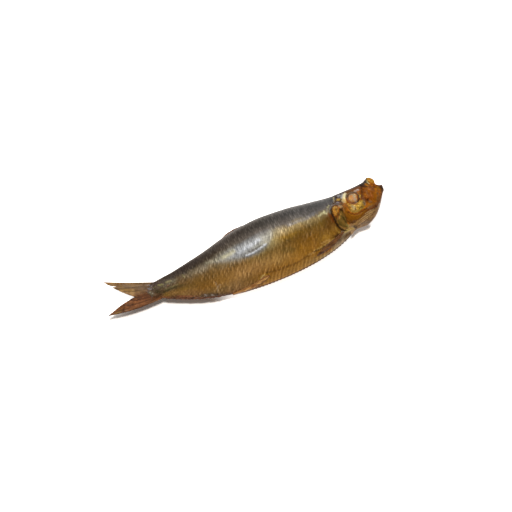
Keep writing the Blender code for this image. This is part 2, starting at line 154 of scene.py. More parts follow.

# Folds, seams and stains of the skin, with painted highlights and painted shade in creases among them, the
# same
# on both flanks: the x,y corners of a line, then its half width, how far it stands out, its colour and how
# fully it covers
# cheek below the eye, with painted shade in the groove along the gilded cheek's lower edge
# crease above the belly folds, its dark line painted shade in the crease
# folds of skin above the pectoral fin, with painted highlights on their crests and painted shade between
# them
# gilded cheek below the eye; its palest gold spots are painted glints and its dark lines painted shade in
# grooves
# gill cover: golden upper lobe, olive main plate, with painted shade in its creases
# painted highlight along the throat's front edge
# painted highlight on a lump of the fin
# painted highlight on the upper lip's lobe
# painted shade in a hollow of the upper jaw
# painted shade in the groove between the brow and the upper jaw
# painted shade in the groove between the lip's lobe and the snout
# painted shade on the throat's underside, grey-brown
# painted sheen low on the dark back
# painted sheen on a fold of the upper jaw
# preopercle: broad orange-brown band round the cheek, with painted shade along its rear edge
# rear slit, its dark line painted shade in the slit, and the skin edge behind it
# silver streak along a crease, a painted highlight with painted shade in the crease, then olive and orange
# patches
# throat: tan, with folds along the jaw that are lit gold on their crests and dark between them, painted
# light and shade
SKIN_MARKS = """
# throat: tan to grey-brown, with golden folds along the jaw
127.4,-4.6 121.1,-7.9 114.5,-10.2 107.7,-11.9 100.9,-13.2 | 3 0 #84633c 0.9
123.9,-5.9 118.7,-7.1 114.9,-5.6 | 0.9 0 #a3824c 0.6
119.3,-10.0 115.0,-8.6 111.5,-7.8 | 0.9 0 #a8864e 0.6
124.6,-4.3 118.8,-5.0 112.8,-6.5 107.3,-8.6 | 0.8 -0.1 #74603f 0.7
125,-6.1 118.6,-9.6 111.6,-11.8 104.9,-13.1 | 0.35 -0.3 #57391f 0.85
121.2,-10.9 115.7,-13.5 110.4,-13.6 | 0.35 -0.2 #5d4229 0.8
107.4,-12.6 112.1,-13.0 116.6,-14.0 | 1.4 0 #8c7560 0.75
110.2,-8.9 105.9,-10.3 101.2,-11 | 0.8 0.2 #9a743e 0.85
84.0,-16.8 92.5,-14.9 99.6,-13.0 | 1.2 0.1 #b39c76 0.85
80.0,-15.5 85.2,-14.0 88.4,-13.7 | 0.9 -0.1 #4d3219 0.85
122.0,20.0 120.8,14.4 119.1,9.2 120.1,6.4 | 1.5 -0.1 #6a3a12 0.75
129.9,24.4 129.8,22.6 130.2,20.4 | 0.6 0.1 #f0df9c 0.9
132.1,-0.4 129.3,-4.4 | 0.6 0.15 #a8917e 0.8
117.2,-2.6 122.0,-3.2 126.4,-3.4 | 1.1 -0.1 #62360f 0.8
95.8,-3.4 96.5,-6.4 97.6,-8.8 | 0.9 0 #6a400c 0.75
100.5,-12.9 102.4,-13.7 | 0.9 -0.2 #33241c 0.9
# lower jaw and the line above it
140.1,10.2 136.2,4.8 132,0 127.9,-3 123.1,-3.3 | 0.7 0.1 #633a19 0.85
127.9,-3 127.1,-2 | 0.8 -0.3 #39200f 0.9
128.3,-1.4 123.3,-2.7 118.1,-3.8 113.7,-5.1 109.1,-6.9 104.4,-8 99.4,-8.4 | 0.6 -0.25 #6e3410 0.9
130.2,-0.5 125.2,-1.9 120.9,-2.8 | 0.35 0.2 #7f4d23 0.7
# preopercle: broad orange-brown band round the cheek
97.3,5.1 97.5,0.3 99.6,-4.6 104.5,-6.6 109.8,-6.3 115,-4.2 | 2.2 0.2 #7c4a06 0.9
98.5,-7.3 103.6,-7.6 109.3,-6.5 | 0.5 0.2 #9a6416 0.7
97.9,3.4 98,-1.8 99.5,-4.9 | 0.7 0.2 #8d560c 0.7
94.8,6 95.4,2.5 95.2,-1 95.7,-4.4 96.2,-7 98.7,-9 102.3,-9.5 | 0.55 -0.45 #3a1f08 0.95
95.3,2.9 95.6,-1.8 | 0.5 0.2 #6b4a1c 0.8
# cheek below the eye
101.6,11.4 102.2,7.6 103.7,4.6 | 1.6 0.1 #a7620f 0.85
102.4,8 100.5,5.8 101,2.8 | 0.9 0 #9c5c12 0.8
100,1.7 102.4,-1.5 106.3,-3.4 110.6,-3.3 114.4,-2.4 117.6,-1.6 | 0.5 -0.35 #54290a 0.95
100.5,-1.5 104,-4.3 109,-4.9 113.3,-3.8 | 0.5 0.25 #94600f 0.8
# snout, brow and upper jaw
106.5,20.9 113.5,21.3 117.9,21.4 121.4,21.7 | 1.3 0.2 #5e3c20 0.9
104.9,16.6 106.6,19.2 110.0,20.1 113.5,19.2 115.6,16.6 | 0.8 0 #55452a 0.8
131.5,2.0 127.5,-0.6 123.0,-1.2 | 1.2 0 #663c16 0.75
96.5,-6.5 99.5,-8.0 104.0,-8.2 | 1.0 0 #643c0c 0.8
115.9,18.4 120.2,19.5 | 1.4 0.2 #7b4f33 0.85
110.1,23.7 115.8,23.7 121.4,23.5 125.7,24.4 129.9,26.2 | 0.9 0 #33271f 0.9
122.7,21.9 124.4,19.8 126.8,18.9 | 1.3 -0.3 #2b1c14 0.95
125.4,21.9 128.1,23.7 129.9,25.7 | 1.2 0.1 #3c322b 0.92
127.1,21.3 128.8,18.5 | 0.6 0.3 #b37726 0.95
129.5,23.6 129.7,20.3 130.2,18.3 130.7,17.4 | 0.35 -0.35 #2b170b 0.95
132,19.1 134.3,17.8 134.9,16 | 0.9 0.1 #914d0a 0.9
134.7,17.6 133,16.1 135.1,14.4 | 0.7 -0.1 #552808 0.8
136.4,14 137.8,12.7 | 1.1 0.15 #9d6b1e 0.9
135.6,11.3 137.5,9.9 | 0.7 0.1 #7f5226 0.8
139.9,15.4 141.0,13.6 141.0,11.2 | 2.4 0 #281910 0.97
122.4,19.6 121.2,15.7 118.8,11.5 117.6,7.4 117.9,3.4 | 0.5 -0.3 #45240d 0.9
122.9,16.6 120.6,12.8 119.6,9.1 | 0.7 0.15 #7d450d 0.8
124.8,15.7 124.6,11.7 124.8,8.1 | 0.9 0.4 #8c5b30 0.85
128.8,16.4 130.5,14.9 131.1,12.2 | 1.4 0.25 #7d4d2b 0.8
128.4,11.7 129.5,8.8 | 1.2 0.1 #7f4110 0.8
127.7,8 128,6 | 0.8 0.4 #a65d26 0.85
123.6,9 124.4,7.7 | 0.7 0.3 #9d5422 0.8
122.4,6 122.7,4.5 | 0.9 -0.4 #351a08 0.95
119.2,6.3 118.5,2.7 | 1 -0.1 #5e4023 0.85
122.9,3.2 124.9,2.5 | 0.8 0.1 #7c6040 0.85
130.2,7.2 129.4,3.2 126.4,0.9 | 1.6 0.1 #905308 0.85
120.4,0.4 125.2,0.4 | 0.7 0.15 #996513 0.85
133.5,9 134.2,6.1 131.2,2.8 | 0.8 0.1 #7b5b30 0.7
135.8,7.5 132.6,3.7 | 0.4 -0.25 #5e3510 0.8
# temple
96.8,20.2 98.2,18.3 99.1,15.1 98.8,12.5 | 1.8 -0.2 #3f3029 0.9
98.4,19.7 100.2,19.8 | 0.9 0.2 #aaa8aa 0.9
96.1,16.4 97.9,16.2 | 0.9 0.25 #d2a74c 0.95
94.2,13.9 96.3,12.3 | 0.7 0.1 #8f8084 0.8
102.3,18.8 99.9,16.9 | 0.7 0.1 #8c888c 0.8
96.6,11.9 99,10.9 100.6,8.2 | 0.8 0.1 #8a5a30 0.8
95,9.5 96.2,8 | 1.1 0.35 #b39a72 0.9
95.7,6.4 95.7,4.7 | 0.9 -0.3 #34200f 0.95
98.2,8.2 97.7,5.9 | 0.8 0.1 #8a5a2c 0.8
# gill cover: golden upper lobe, olive main plate
87.9,8.5 87.5,5.7 88.0,4.2 | 1.5 0.2 #ab7428 0.9
88.9,10.2 91.4,9.4 | 0.9 0.3 #d9ab5c 0.95
89.4,5.6 88.9,3.3 | 0.8 0.2 #cf8c34 0.8
92.6,8.4 90.5,6.9 89.8,5.4 | 0.5 -0.3 #6b4a22 0.85
93.4,2.6 91.6,0.4 90.2,-2.2 | 1.0 0.2 #a5762a 0.85
94.4,6.2 91.6,3.4 88.0,0.6 86.8,-1.6 | 0.8 -0.25 #3d270c 0.92
86.8,0.7 86.4,-6.2 88.6,-10.4 91.6,-12.6 | 0.9 0 #4c3a12 0.85
93.7,2.6 93.2,-1.9 93.1,-6.5 92.5,-9.8 | 1.6 0 #806026 0.85
88.2,-3.5 88.3,-6.7 90.6,-10.2 93.9,-11.1 | 1.6 0 #6a541e 0.9
92,-0.2 90.6,-4.7 | 0.8 0.15 #705c2a 0.7
93.3,-1.5 93.9,-4.5 94.4,-7.3 | 0.8 -0.3 #3d3008 0.9
94.3,-1.4 95.1,-4 | 0.4 0.2 #8a7434 0.7
94.2,-9.3 95.2,-10.8 | 1 0.15 #9c8648 0.85
87.6,-9.2 90.9,-11.9 | 1.1 0 #a0743a 0.8
80.2,-5.4 80.6,-9.4 | 1.3 0 #a67836 0.7
88.9,-14 91.7,-14.1 94.9,-13.6 98.6,-14 | 0.8 0.4 #cda455 0.95
90.3,-14.2 92.8,-14 | 0.5 0.3 #ecd27a 0.9
# rear slit and the skin edge behind it
89.4,11.3 87.6,10.7 85.9,7.9 85.4,4.1 85.6,-0.9 85.4,-5.6 86.4,-9.8 89.3,-13 91.8,-14 | 0.7 -0.5 #22150c 0.95
94.4,11.2 93.2,12.7 90,13 87.2,11.9 84.3,8.8 83.3,6.6 | 0.6 0.25 #877b74 0.7
82.2,6.2 83.5,1.7 83,-2.4 | 1.2 0.1 #86430f 0.85
82.9,-3.7 82.7,-8.6 83.7,-12.8 | 1 0 #7a5012 0.85
83,-7.8 83.2,-11.8 85.9,-14.4 | 0.6 0.2 #b98a34 0.85
87.3,-13.2 88.7,-14.4 | 0.6 0.2 #b0a08c 0.8
# pale scales along the shoulder
72.9,7.6 75.6,8.3 79,9.7 | 0.8 0.1 #d0c695 0.9
79.2,10.1 79.2,7.8 81.2,7.3 | 0.7 0.1 #e0d7a2 0.9
84.1,12.5 85.8,13.9 | 0.6 0.1 #d8cfa0 0.85
93.9,19.9 92.6,16.2 | 0.5 0.1 #bda96c 0.85
82.9,10.9 81.3,8.5 | 0.6 0.05 #b0a898 0.6
# silver streak along a crease
-3.9,-1.3 3.0,-1.2 9.7,0.0 16.5,1.6 | 0.8 0.35 #d9dbdf 0.95
-8.2,4.6 -2.4,5.6 4.2,6.4 12.5,8.0 | 1.5 0.0 #c6c8cc 0.7
-0.1,0.6 7.0,1.0 13.6,2.0 | 0.6 -0.2 #6c6762 0.7
29.8,-10 37.3,-12.2 | 2.4 0 #67511f 0.6
36.4,-2.5 37.5,-3.7 | 0.6 -0.1 #4a3c1c 0.8
55.7,-9 58.9,-8.8 63.7,-8.4 | 1.7 0 #8a5a08 0.75
54.9,3.6 54.6,-2.6 | 2.6 0 #8a6424 0.5
# crease above the belly folds
6.2,-21.9 13.4,-23.1 20.7,-23.9 28.4,-24 36,-24.4 46,-22.6 52.6,-21.8 | 0.7 -0.12 #6b4514 0.7
-0.4,-24.9 2.4,-23.6 5.4,-23 7.1,-25.3 | 1.2 0.45 #b5842c 0.9
0.2,-24.4 4.2,-23 | 0.5 0.2 #d8b878 0.85
5.6,-28.7 8.6,-27.2 8.5,-23.8 | 0.6 0.1 #9a6a14 0.8
# folds of skin above the pectoral fin
49.9,-21.6 55.8,-21.6 | 0.7 0.3 #cf9c54 0.85
56.3,-20.4 64.3,-19.7 71.2,-18.2 78,-17.1 | 0.7 0.45 #c59a50 0.9
65.1,-16.9 68.9,-16.2 73.6,-16.3 | 0.6 0.3 #cf9f58 0.85
54.5,-20.9 62.2,-21 68.2,-19.8 74.9,-18.8 | 0.5 -0.3 #573a14 0.85
60.9,-24.4 66.5,-24.1 71.4,-23.6 | 0.8 0 #a8600f 0.85
60.9,-28.4 67.7,-27.2 74.5,-26.1 | 0.8 0.1 #a98c5c 0.7
80.4,3 80,-1.6 77.3,-5.9 | 1.6 0 #6b430e 0.7
56.1,9.6 61.6,9.8 69.4,11.6 | 1.4 0 #8f8c8c 0.5
43.1,10.2 49.3,10 54.1,10.4 | 1.2 0 #9a9696 0.6
# gilded cheek below the eye
104,6.4 104.1,3.4 | 1 0.1 #b07a2a 0.85
103.4,1.8 105.8,-0.2 108.8,-0.9 | 1.2 0.2 #bd8d36 0.9
106.5,4.4 107,2.4 | 1.5 0.3 #e2c88c 0.9
110.1,3 110.7,0.7 | 1.5 0.35 #e4ae40 0.95
113.3,3.7 116.1,5.3 | 1.8 0.35 #deb04a 0.95
111.6,6.3 114.2,6.8 | 0.8 0.1 #bb8a32 0.85
117.7,4.5 117.5,2.6 | 1 0 #8f7b62 0.85
115.2,1.6 116.3,-0.2 | 0.8 0.1 #bd861f 0.85
111.2,0.8 114.6,0.9 | 0.5 -0.35 #5e4a18 0.9
107.8,1.8 108,0.4 | 0.5 -0.25 #6a4a14 0.85
117.1,12.9 116.8,11 | 0.8 0.2 #c69f42 0.9
117.6,15.4 117.8,14.2 | 0.6 0.1 #965b23 0.85
104.6,12.8 105,9.5 107.4,6.5 | 0.7 0.1 #a2591a 0.8
# the eye, with clouded and golden parts
108.9,15.7 109.3,12.6 109.3,10.5 | 1.3 0.1 #bb783a 0.9
106.0,16.2 108.4,17.3 112.1,16.7 | 1.2 0 #69543a 0.85
111.3,9.7 111.2,7.5 | 1.1 0 #b59c88 0.85
106.3,8.2 108.9,6.7 | 0.7 0.1 #cd8c58 0.85
114.8,13.2 114.3,10.9 | 0.8 0 #964d23 0.85
111.6,14 110.9,10.3 | 0.6 0.1 #ab957e 0.8
106.8,15.8 105,12.6 | 0.6 0 #84634a 0.8
106.4,8.4 108.2,7.3 112.4,7.3 115.4,9.6 116.2,13.0 | 0.45 -0.1 #3a2618 0.85
# the fatty eyelid behind the eye
105.5,19.6 102.9,16.2 | 1 0.1 #f0e5b6 0.9
103,19.7 100.8,17.1 | 0.9 0 #b4b2ac 0.85
101.6,13.5 101.9,11.5 | 0.8 0.1 #dcb462 0.85
100.2,14.8 99.7,12.8 100.7,11.4 | 0.7 0.1 #dabb84 0.8
115.3,18.6 118.2,18.3 | 0.8 0.2 #c8b3a2 0.85
# dried flakes where the trunk meets the tail fin
-67,-7.1 -78,-5.8 -85.9,-3.9 | 2.2 0 #946f2c 0.8
-67.6,-1.7 -74.2,-1 -81.5,-0.6 -87.3,-0.5 | 0.7 -0.3 #474023 0.85
-70.7,0.5 -78.1,0.7 -84.9,0.9 | 0.6 0.25 #736a42 0.85
-92.6,3.3 -90.1,1 | 1.6 -0.1 #463c22 0.85
-88.4,3.7 -85.6,3.6 | 0.8 0.1 #564b2a 0.8
-77,6.2 -81.3,6.9 | 0.8 0.3 #a4976a 0.9
-85,6.3 -88.7,7.3 | 0.7 0.3 #9c925e 0.9
-71.7,5.2 -75.1,5.2 | 1 0.2 #847d66 0.8
-92.1,7.5 -93.9,7.2 | 0.6 0.2 #8d8452 0.85
-79.9,3.3 -81.6,3.4 | 0.5 0.1 #8f5f40 0.8
-63.5,4 -64.7,6.7 | 0.5 0.2 #aba072 0.85
-97.1,2.2 -98.5,4.6 | 1.4 0.35 #877c62 0.9
-95.9,7.3 -98.5,7.3 | 0.5 0.2 #aaa2a2 0.85
-94.8,9.5 -96.6,9.3 | 0.4 0.2 #aca4a4 0.85
-97.2,12.2 -99.3,12.9 | 0.5 0.1 #9a9090 0.8
-92,9.1 -94.2,6.4 -96.3,5.6 | 0.4 -0.3 #2c241c 0.8
-88.8,10 -91.1,9.9 | 0.8 0 #4a3a30 0.8
-84.1,-6.4 -88.9,-4.2 -93.8,-3.5 | 0.9 0.2 #8a5230 0.85
-89.9,-1.3 -93.7,-1.9 -96.8,-1.1 | 0.7 -0.1 #4c2e1a 0.8
# a scratch, an orange spot and paler skin low on the flank
-39.8,-11.7 -39.4,-16.5 -41,-19.7 | 0.3 -0.1 #c4a582 0.7
-39.4,-16.5 -35.7,-15.1 | 0.3 -0.1 #c4a582 0.7
-22.6,-2.5 -24,-4.8 | 0.5 0 #b47c18 0.8
-8.6,-25.2 -7.4,-26.5 | 0.35 0 #3c2a20 0.8
-82,-4.3 -67.1,-8.4 -53.6,-15.8 | 1.6 0 #94683a 0.6
-69.2,2.3 -56.6,-3.4 -45.5,-6.7 | 4.5 0 #7c5620 0.5
-38.4,4.3 -28.7,-0.2 -15.8,-5.1 | 2.2 0 #74592a 0.6
-24.2,6.4 -19.1,6.6 -13.7,7.6 | 2 0.1 #beb488 0.7
-40.3,7.9 -32.4,6.7 -27.3,7 | 1.4 0.1 #a59c80 0.6
# tail fin: tan upper lobe with a golden edge, reddish lower lobe with a dark edge
-94.6,13.2 -103.5,16.8 -115.6,22.3 -122.9,25.4 | 1 0.1 #775a39 0.85
-121.5,24.7 -126.9,27 -131.7,29.3 | 0.9 0.1 #8e6536 0.9
-104.8,13.5 -111.7,16.4 -118.2,20.1 | 1.4 0 #8b7662 0.7
-97,9.6 -102.1,11.6 -106.4,12.4 | 1.3 0 #86705f 0.8
-113.5,11.8 -118.2,15.7 -123.1,20.7 | 1.1 0 #96734a 0.75
-101.8,6.4 -106.1,7.3 -110.2,8.6 | 1.4 0 #70482e 0.8
-107.6,3.7 -111.4,5.6 -113.3,6.5 | 0.9 -0.1 #523a2d 0.85
-102.4,2 -106.1,1.5 -109.9,0.8 | 1.8 0 #7a4c30 0.75
-99.7,-2.5 -107.6,-2 -115.6,-2.1 -123.8,-2.7 | 1.2 0.1 #8e5f3c 0.7
-116.9,3.2 -122.1,3.1 -126.9,1 -131.5,-0.5 | 0.9 0.1 #8a5d3c 0.7
-114.8,0 -120.8,-1 -127.9,-1.5 | 0.5 -0.1 #5c3522 0.7
-127.7,-1 -133.3,-0.9 -139.1,-1.1 | 1.4 0 #5e4026 0.8
-129.8,-0.7 -135,-0.8 | 0.6 0.1 #8a6c30 0.7
-140.3,-1.3 -132.7,-3.6 -124.3,-3.9 -116.6,-4.6 -108.7,-4.7 -100.8,-5.1 -93.2,-5.9 | 0.6 0 #45291d 0.9
-92.7,-4.8 -85.4,-6.6 -77.4,-9.6 -69.5,-12.7 | 0.9 0.1 #6c4028 0.8
-101.9,5.6 -105.5,5.0 -110.5,6.7 | 0.8 -0.1 #5a3018 0.85
-97.8,0.8 -104.3,1.3 -112.0,2.9 -118.0,6.0 | 0.55 -0.3 #3c2014 0.85
-107.0,3.6 -110.0,4.2 -113.3,6.2 | 0.45 -0.2 #3f261a 0.85
-125.7,1.1 -127.9,-2.7 | 0.9 0.3 #472a17 0.85
-124.2,-2.0 -126.2,-1.2 | 0.4 0.2 #b08a6c 0.8
-114.3,13.6 -118.2,16.7 -123.5,18.3 | 1.2 0.1 #a07a40 0.7
-106.8,-0.3 -110.4,0.5 -115.5,0.7 | 0.9 0.2 #a06a42 0.75
-89.0,15.0 -94.0,12.0 -99.4,8.4 -101.2,3.9 | 0.8 0 #4a3a2c 0.75
-97.8,8.2 -99.4,9.6 | 0.35 0.2 #b9b0b4 0.8
-99.8,6.2 -101.2,7.6 | 0.35 0.2 #b3a8aa 0.8
-96.0,11.4 -98.2,12.4 | 0.35 0.2 #b3aaac 0.8
# anal fin strip along the belly edge
-81.8,-7.5 -76.5,-8.9 | 1.5 0.1 #5a3524 0.85
-75.8,-9.2 -70.3,-11.9 -64.6,-14 | 0.9 0.2 #8a5236 0.85
-63.3,-14.9 -58.9,-16.4 | 0.7 0.2 #7a4a34 0.85
-55.4,-17.8 -49.5,-19.6 -43.1,-22 | 1.6 0 #3a322e 0.85
-52.9,-17.9 -51.6,-18.8 | 0.5 0.2 #b4a49a 0.85
-47.2,-20.1 -45.9,-20.9 | 0.4 0.2 #a89a90 0.85
-41.7,-22.8 -36,-24.9 -30.1,-26.5 | 1.4 0 #46302a 0.85
-28.5,-26.7 -20.6,-27.9 -12.5,-28.3 -4.3,-28.7 | 1.2 0.1 #7a3f1c 0.8
"""
WRINKLE_DEPTH = 0.55  # of the long folds where the skin dried loose


def linear(code):
    """An sRGB hex colour as linear red, green, blue and alpha."""
    parts = [int(code[i : i + 2], 16) / 255 for i in (1, 3, 5)]
    return tuple(p / 12.92 if p <= 0.04045 else ((p + 0.055) / 1.055) ** 2.4 for p in parts) + (1.0,)


def add(tree, kind, *inputs, out=0, fill=None, **settings):
    """Adds a node with its settings, fills its sockets and hands back one output.

    A shader node's kind is given without `ShaderNode` in front. Inputs fill the sockets in order,
    and `fill` fills them by name or number.
    """
    made = tree.nodes.new(kind if "Node" in kind else "ShaderNode" + kind)
    for name, value in settings.items():
        setattr(made, name, value)
    wanted = dict(enumerate(inputs))
    wanted.update(fill or {})
    for socket, value in wanted.items():
        if isinstance(value, bpy.types.NodeSocket):
            tree.links.new(value, made.inputs[socket])
        else:
            made.inputs[socket].default_value = value
    return made.outputs[out]


def new_material(name, **sockets):
    """A material whose shader has these sockets set; hands back its tree and shader too."""
    made = bpy.data.materials.new(name)
    made.use_nodes = True
    shader = made.node_tree.nodes["Principled BSDF"]
    for socket, value in sockets.items():
        shader.inputs[socket.replace("_", " ")].default_value = value
    return made, made.node_tree, shader


def rib_distances():
    """Distance of each rib along the fish, measured midway between back and belly."""
    distances = [0.0]
    for behind, ahead in zip(RIBS, RIBS[1:]):
        step_x = (ahead[0] + ahead[2] - behind[0] - behind[2]) / 2
        step_y = (ahead[1] + ahead[3] - behind[1] - behind[3]) / 2
        distances.append(distances[-1] + math.hypot(step_x, step_y))
    return distances


RIB_DISTANCES = rib_distances()


def rib_at(distance):
    """A rib between the given ones, on a smooth curve through each of their values."""
    last = len(RIBS) - 1
    i = 0
    while i < last - 1 and RIB_DISTANCES[i + 1] < distance:
        i += 1
    span = RIB_DISTANCES[i + 1] - RIB_DISTANCES[i]
    t = (distance - RIB_DISTANCES[i]) / span
    before = max(i - 1, 0)
    after = min(i + 2, last)
    rib = []
    for column in range(len(RIBS[0])):
        start = RIBS[i][column]
        end = RIBS[i + 1][column]
        slope_in = (end - RIBS[before][column]) / (RIB_DISTANCES[i + 1] - RIB_DISTANCES[before])
        slope_out = (RIBS[after][column] - start) / (RIB_DISTANCES[after] - RIB_DISTANCES[i])
        value = start * (1 + 2 * t) * (1 - t) ** 2
        value += slope_in * span * t * (1 - t) ** 2
        value += end * t * t * (3 - 2 * t)
        value += slope_out * span * t * t * (t - 1)
        rib.append(value)
    return rib


def section_width(height, belly_roundness):
    """Half thickness, as a share of the widest, at a height from -1 (belly) to 1 (back)."""
    peak = (belly_roundness - BACK_ROUNDNESS) / (belly_roundness + BACK_ROUNDNESS)
    widest = (1 - peak) ** BACK_ROUNDNESS * (1 + peak) ** belly_roundness
    back_side = np.maximum(1 - height, 0.0) ** BACK_ROUNDNESS
    belly_side = np.maximum(1 + height, 0.0) ** belly_roundness
    return back_side * belly_side / widest


def smooth_step(value, low, high):
    """0 below `low`, 1 above `high` and a soft rise between them."""
    share = np.clip((value - low) / (high - low), 0.0, 1.0)
    return share * share * (3 - 2 * share)


def cover_share(x, y):
    """0 at the gill cover's centre, 1 on its rim and more outside."""
    across = np.abs(x - COVER_CENTRE[0]) / COVER_RADII[0]
    up = np.abs(y - COVER_CENTRE[1]) / COVER_RADII[1]
    return (across**COVER_SQUARENESS + up**COVER_SQUARENESS) ** (1 / COVER_SQUARENESS)


def cover_relief(x, y):
    """The gill cover rises to its rear rim and drops into the slit behind it."""
    share = cover_share(x, y)
    behind = np.clip((COVER_CENTRE[0] - x) / (0.5 * COVER_RADII[0]), 0.0, 1.0)
    slit = (share - 1.0) / COVER_RIM_WIDTH
    return behind * np.where(share <= 1.0, COVER_RISE * share**3, -SLIT_DEPTH * np.exp(-(slit**2)))


def socket_relief(x, y):
    """A trough round the eye."""
    away = np.hypot(x - EYE_CENTRE[0], y - EYE_CENTRE[1])
    return -SOCKET_DEPTH * np.exp(-(((away - EYE_RADIUS) / SOCKET_WIDTH) ** 2))


def line_distance(x, y, line):
    """Distance of points from a line through several places in the fish's plane."""
    nearest = np.full(np.shape(x), 1e9)
    for (x0, y0), (x1, y1) in zip(line, line[1:]):
        step_x, step_y = x1 - x0, y1 - y0
        share = ((x - x0) * step_x + (y - y0) * step_y) / (step_x**2 + step_y**2)
        share = np.clip(share, 0.0, 1.0)
        nearest = np.minimum(nearest, np.hypot(x - x0 - share * step_x, y - y0 - share * step_y))
    return nearest


def belly_folds(x, y):
    """How strongly the belly skin is folded at a place, from 0 to 1."""
    top = np.interp(x, RIPPLE_TOP_X, RIPPLE_TOP_Y)
    folded = 1 - smooth_step(y, top - 1.2, top + 0.6)
    folded *= smooth_step(x, RIPPLE_TOP_X[0], RIPPLE_TOP_X[0] + 8.0)
    return folded * (1 - smooth_step(x, RIPPLE_TOP_X[-1] - 14.0, RIPPLE_TOP_X[-1]))


def marks_in(table):
    """The marks of a table, one to each row: line, half width, rise, colour and strength."""
    for row in table.split("\n"):
        if "|" in row:
            corners, look = row.split("|")
            half_width, rise, code, strength = look.split()
            line = [tuple(float(number) for number in corner.split(",")) for corner in corners.split()]
            yield line, float(half_width), float(rise), code, float(strength)


def skin_marks(x, y):
    """What folds, seams and stains of the skin, and the painted highlights and shade among them, add at
    places: height, colour and how fully they cover.
    """
    wavy_x = x + 0.28 * np.sin(1.9 * y + 0.7 * x) + 0.14 * np.sin(4.3 * x - 3.1 * y)
    wavy_y = y + 0.28 * np.sin(2.1 * x - 0.5 * y) + 0.14 * np.sin(3.7 * y + 2.9 * x)
    patchy = 0.86 + 0.14 * np.sin(2.7 * x + 1.3 * y) * np.sin(1.7 * y - 2.2 * x)
    height = np.zeros(len(x))
    colour = np.zeros((len(x), 3))
    cover = np.zeros(len(x))
    for line, half_width, rise, code, strength in marks_in(SKIN_MARKS):
        away = line_distance(wavy_x, wavy_y, line)
        share = 1 - smooth_step(away, 0.1 * half_width, 1.9 * half_width + 0.1)
        height += rise * share
        share = share * strength * patchy
        colour += (LIT_GAIN * np.array(linear(code)[:3]) - colour) * share[:, None]
        cover += (1 - cover) * share
    return height, colour, cover


def band_colours(x, y):
    """Colours of the smoked skin at places, blended from band to band down the flank."""
    colour = np.zeros((len(x), 3))
    line_above = np.full(len(x), 1e3)
    for band in SKIN_BANDS:
        stations = [place[0] for place in band]
        tones = np.array([linear(place[2])[:3] for place in band]) * LIT_GAIN
        tone = np.stack([np.interp(x, stations, tones[:, k]) for k in range(3)], axis=1)
        line = np.interp(x, stations, [place[1] for place in band])
        share = np.clip((line_above - y) / (line_above - line), 0.0, 1.0)
        share = np.where(line_above > 1e2, 1.0, share)
        colour += (tone - colour) * share[:, None]
        line_above = line
    return colour


def top_scale(column, row):
    """Two random numbers, from 0 to 1, for the scale that lies on top at each place."""
    best = np.full(len(column), -1.0)
    chosen = np.zeros((len(column), 2))
    for row_shift, column_shift in ((0.0, 0.0), (1.0, 0.5)):
        shifted = row + row_shift
        off = shifted - 2 * np.round(shifted / 2)
        moved = column + SCALE_OVERLAP * np.sqrt(1 - SCALE_ARCH * off**2) + column_shift
        height = (1 - (moved - np.floor(moved))) * (1 - 0.92 * off**2)
        cell = np.floor(moved) * 12.9898 + np.round(shifted / 2) * 78.233 + column_shift * 37.7
        picks = np.stack((np.sin(cell) * 43758.5453 % 1.0, np.sin(cell + 4.1) * 24634.6345 % 1.0), axis=1)
        chosen = np.where((height > best)[:, None], picks, chosen)
        best = np.maximum(best, height)
    return chosen


def skin_ring(distance, scale):
    """One closed ring of the skin: places, share of the half thickness, and height from -1 to 1."""
    back_x, back_y, belly_x, belly_y, half_thickness, belly_roundness = rib_at(distance)
    angle = np.arange(RING_POINTS) * 2 * math.pi / RING_POINTS
    height = np.cos(angle)
    side = np.where(np.sin(angle) < 0, -1.0, 1.0)
    width = section_width(height, belly_roundness)
    up_x, up_y = (back_x - belly_x) / 2, (back_y - belly_y) / 2
    lips_near = max(1 - (RIB_DISTANCES[-1] - distance) / MOUTH_CORNER_REACH, 0.0)
    setback = MOUTH_CORNER_SETBACK * lips_near**2 * (1 - height**2) / math.hypot(up_x, up_y)
    x = (back_x + belly_x) / 2 + up_x * height * scale - up_y * setback
    y = (back_y + belly_y) / 2 + up_y * height * scale + up_x * setback
    z = MIDPLANE_HEIGHT + side * width * half_thickness * scale
    return np.stack((x, y, z), axis=1), side * width, height


def skin_stations():
    """Distance along the fish and scale of each ring, tail to lips and then into the mouth."""
    end = RIB_DISTANCES[-1]
    head_start = HEAD_START - RIBS[0][0]
    trunk_rings = round(head_start / TRUNK_STEP)
    head_rings = round((end - head_start) / HEAD_STEP)
    stations = [(head_start * k / trunk_rings, 1.0) for k in range(trunk_rings)]
    stations += [(head_start + (end - head_start) * k / head_rings, 1.0) for k in range(head_rings + 1)]
    lip = rib_at(end)
    lip_scale = 1 - LIP_THICKNESS / (math.hypot(lip[0] - lip[2], lip[1] - lip[3]) / 2)
    for k in range(1, LIP_RINGS):
        turn = math.pi / 2 * k / LIP_RINGS
        stations.append((end + 0.4 * math.sin(2 * turn), 1 - (1 - lip_scale) * (1 - math.cos(turn))))
    depth_rings = round(MOUTH_DEPTH / HEAD_STEP)
    for k in range(depth_rings + 1):
        share = k / depth_rings
        stations.append((end - MOUTH_DEPTH * share, lip_scale + (MOUTH_THROAT_SCALE - lip_scale) * share))
    return stations, trunk_rings + head_rings + 1


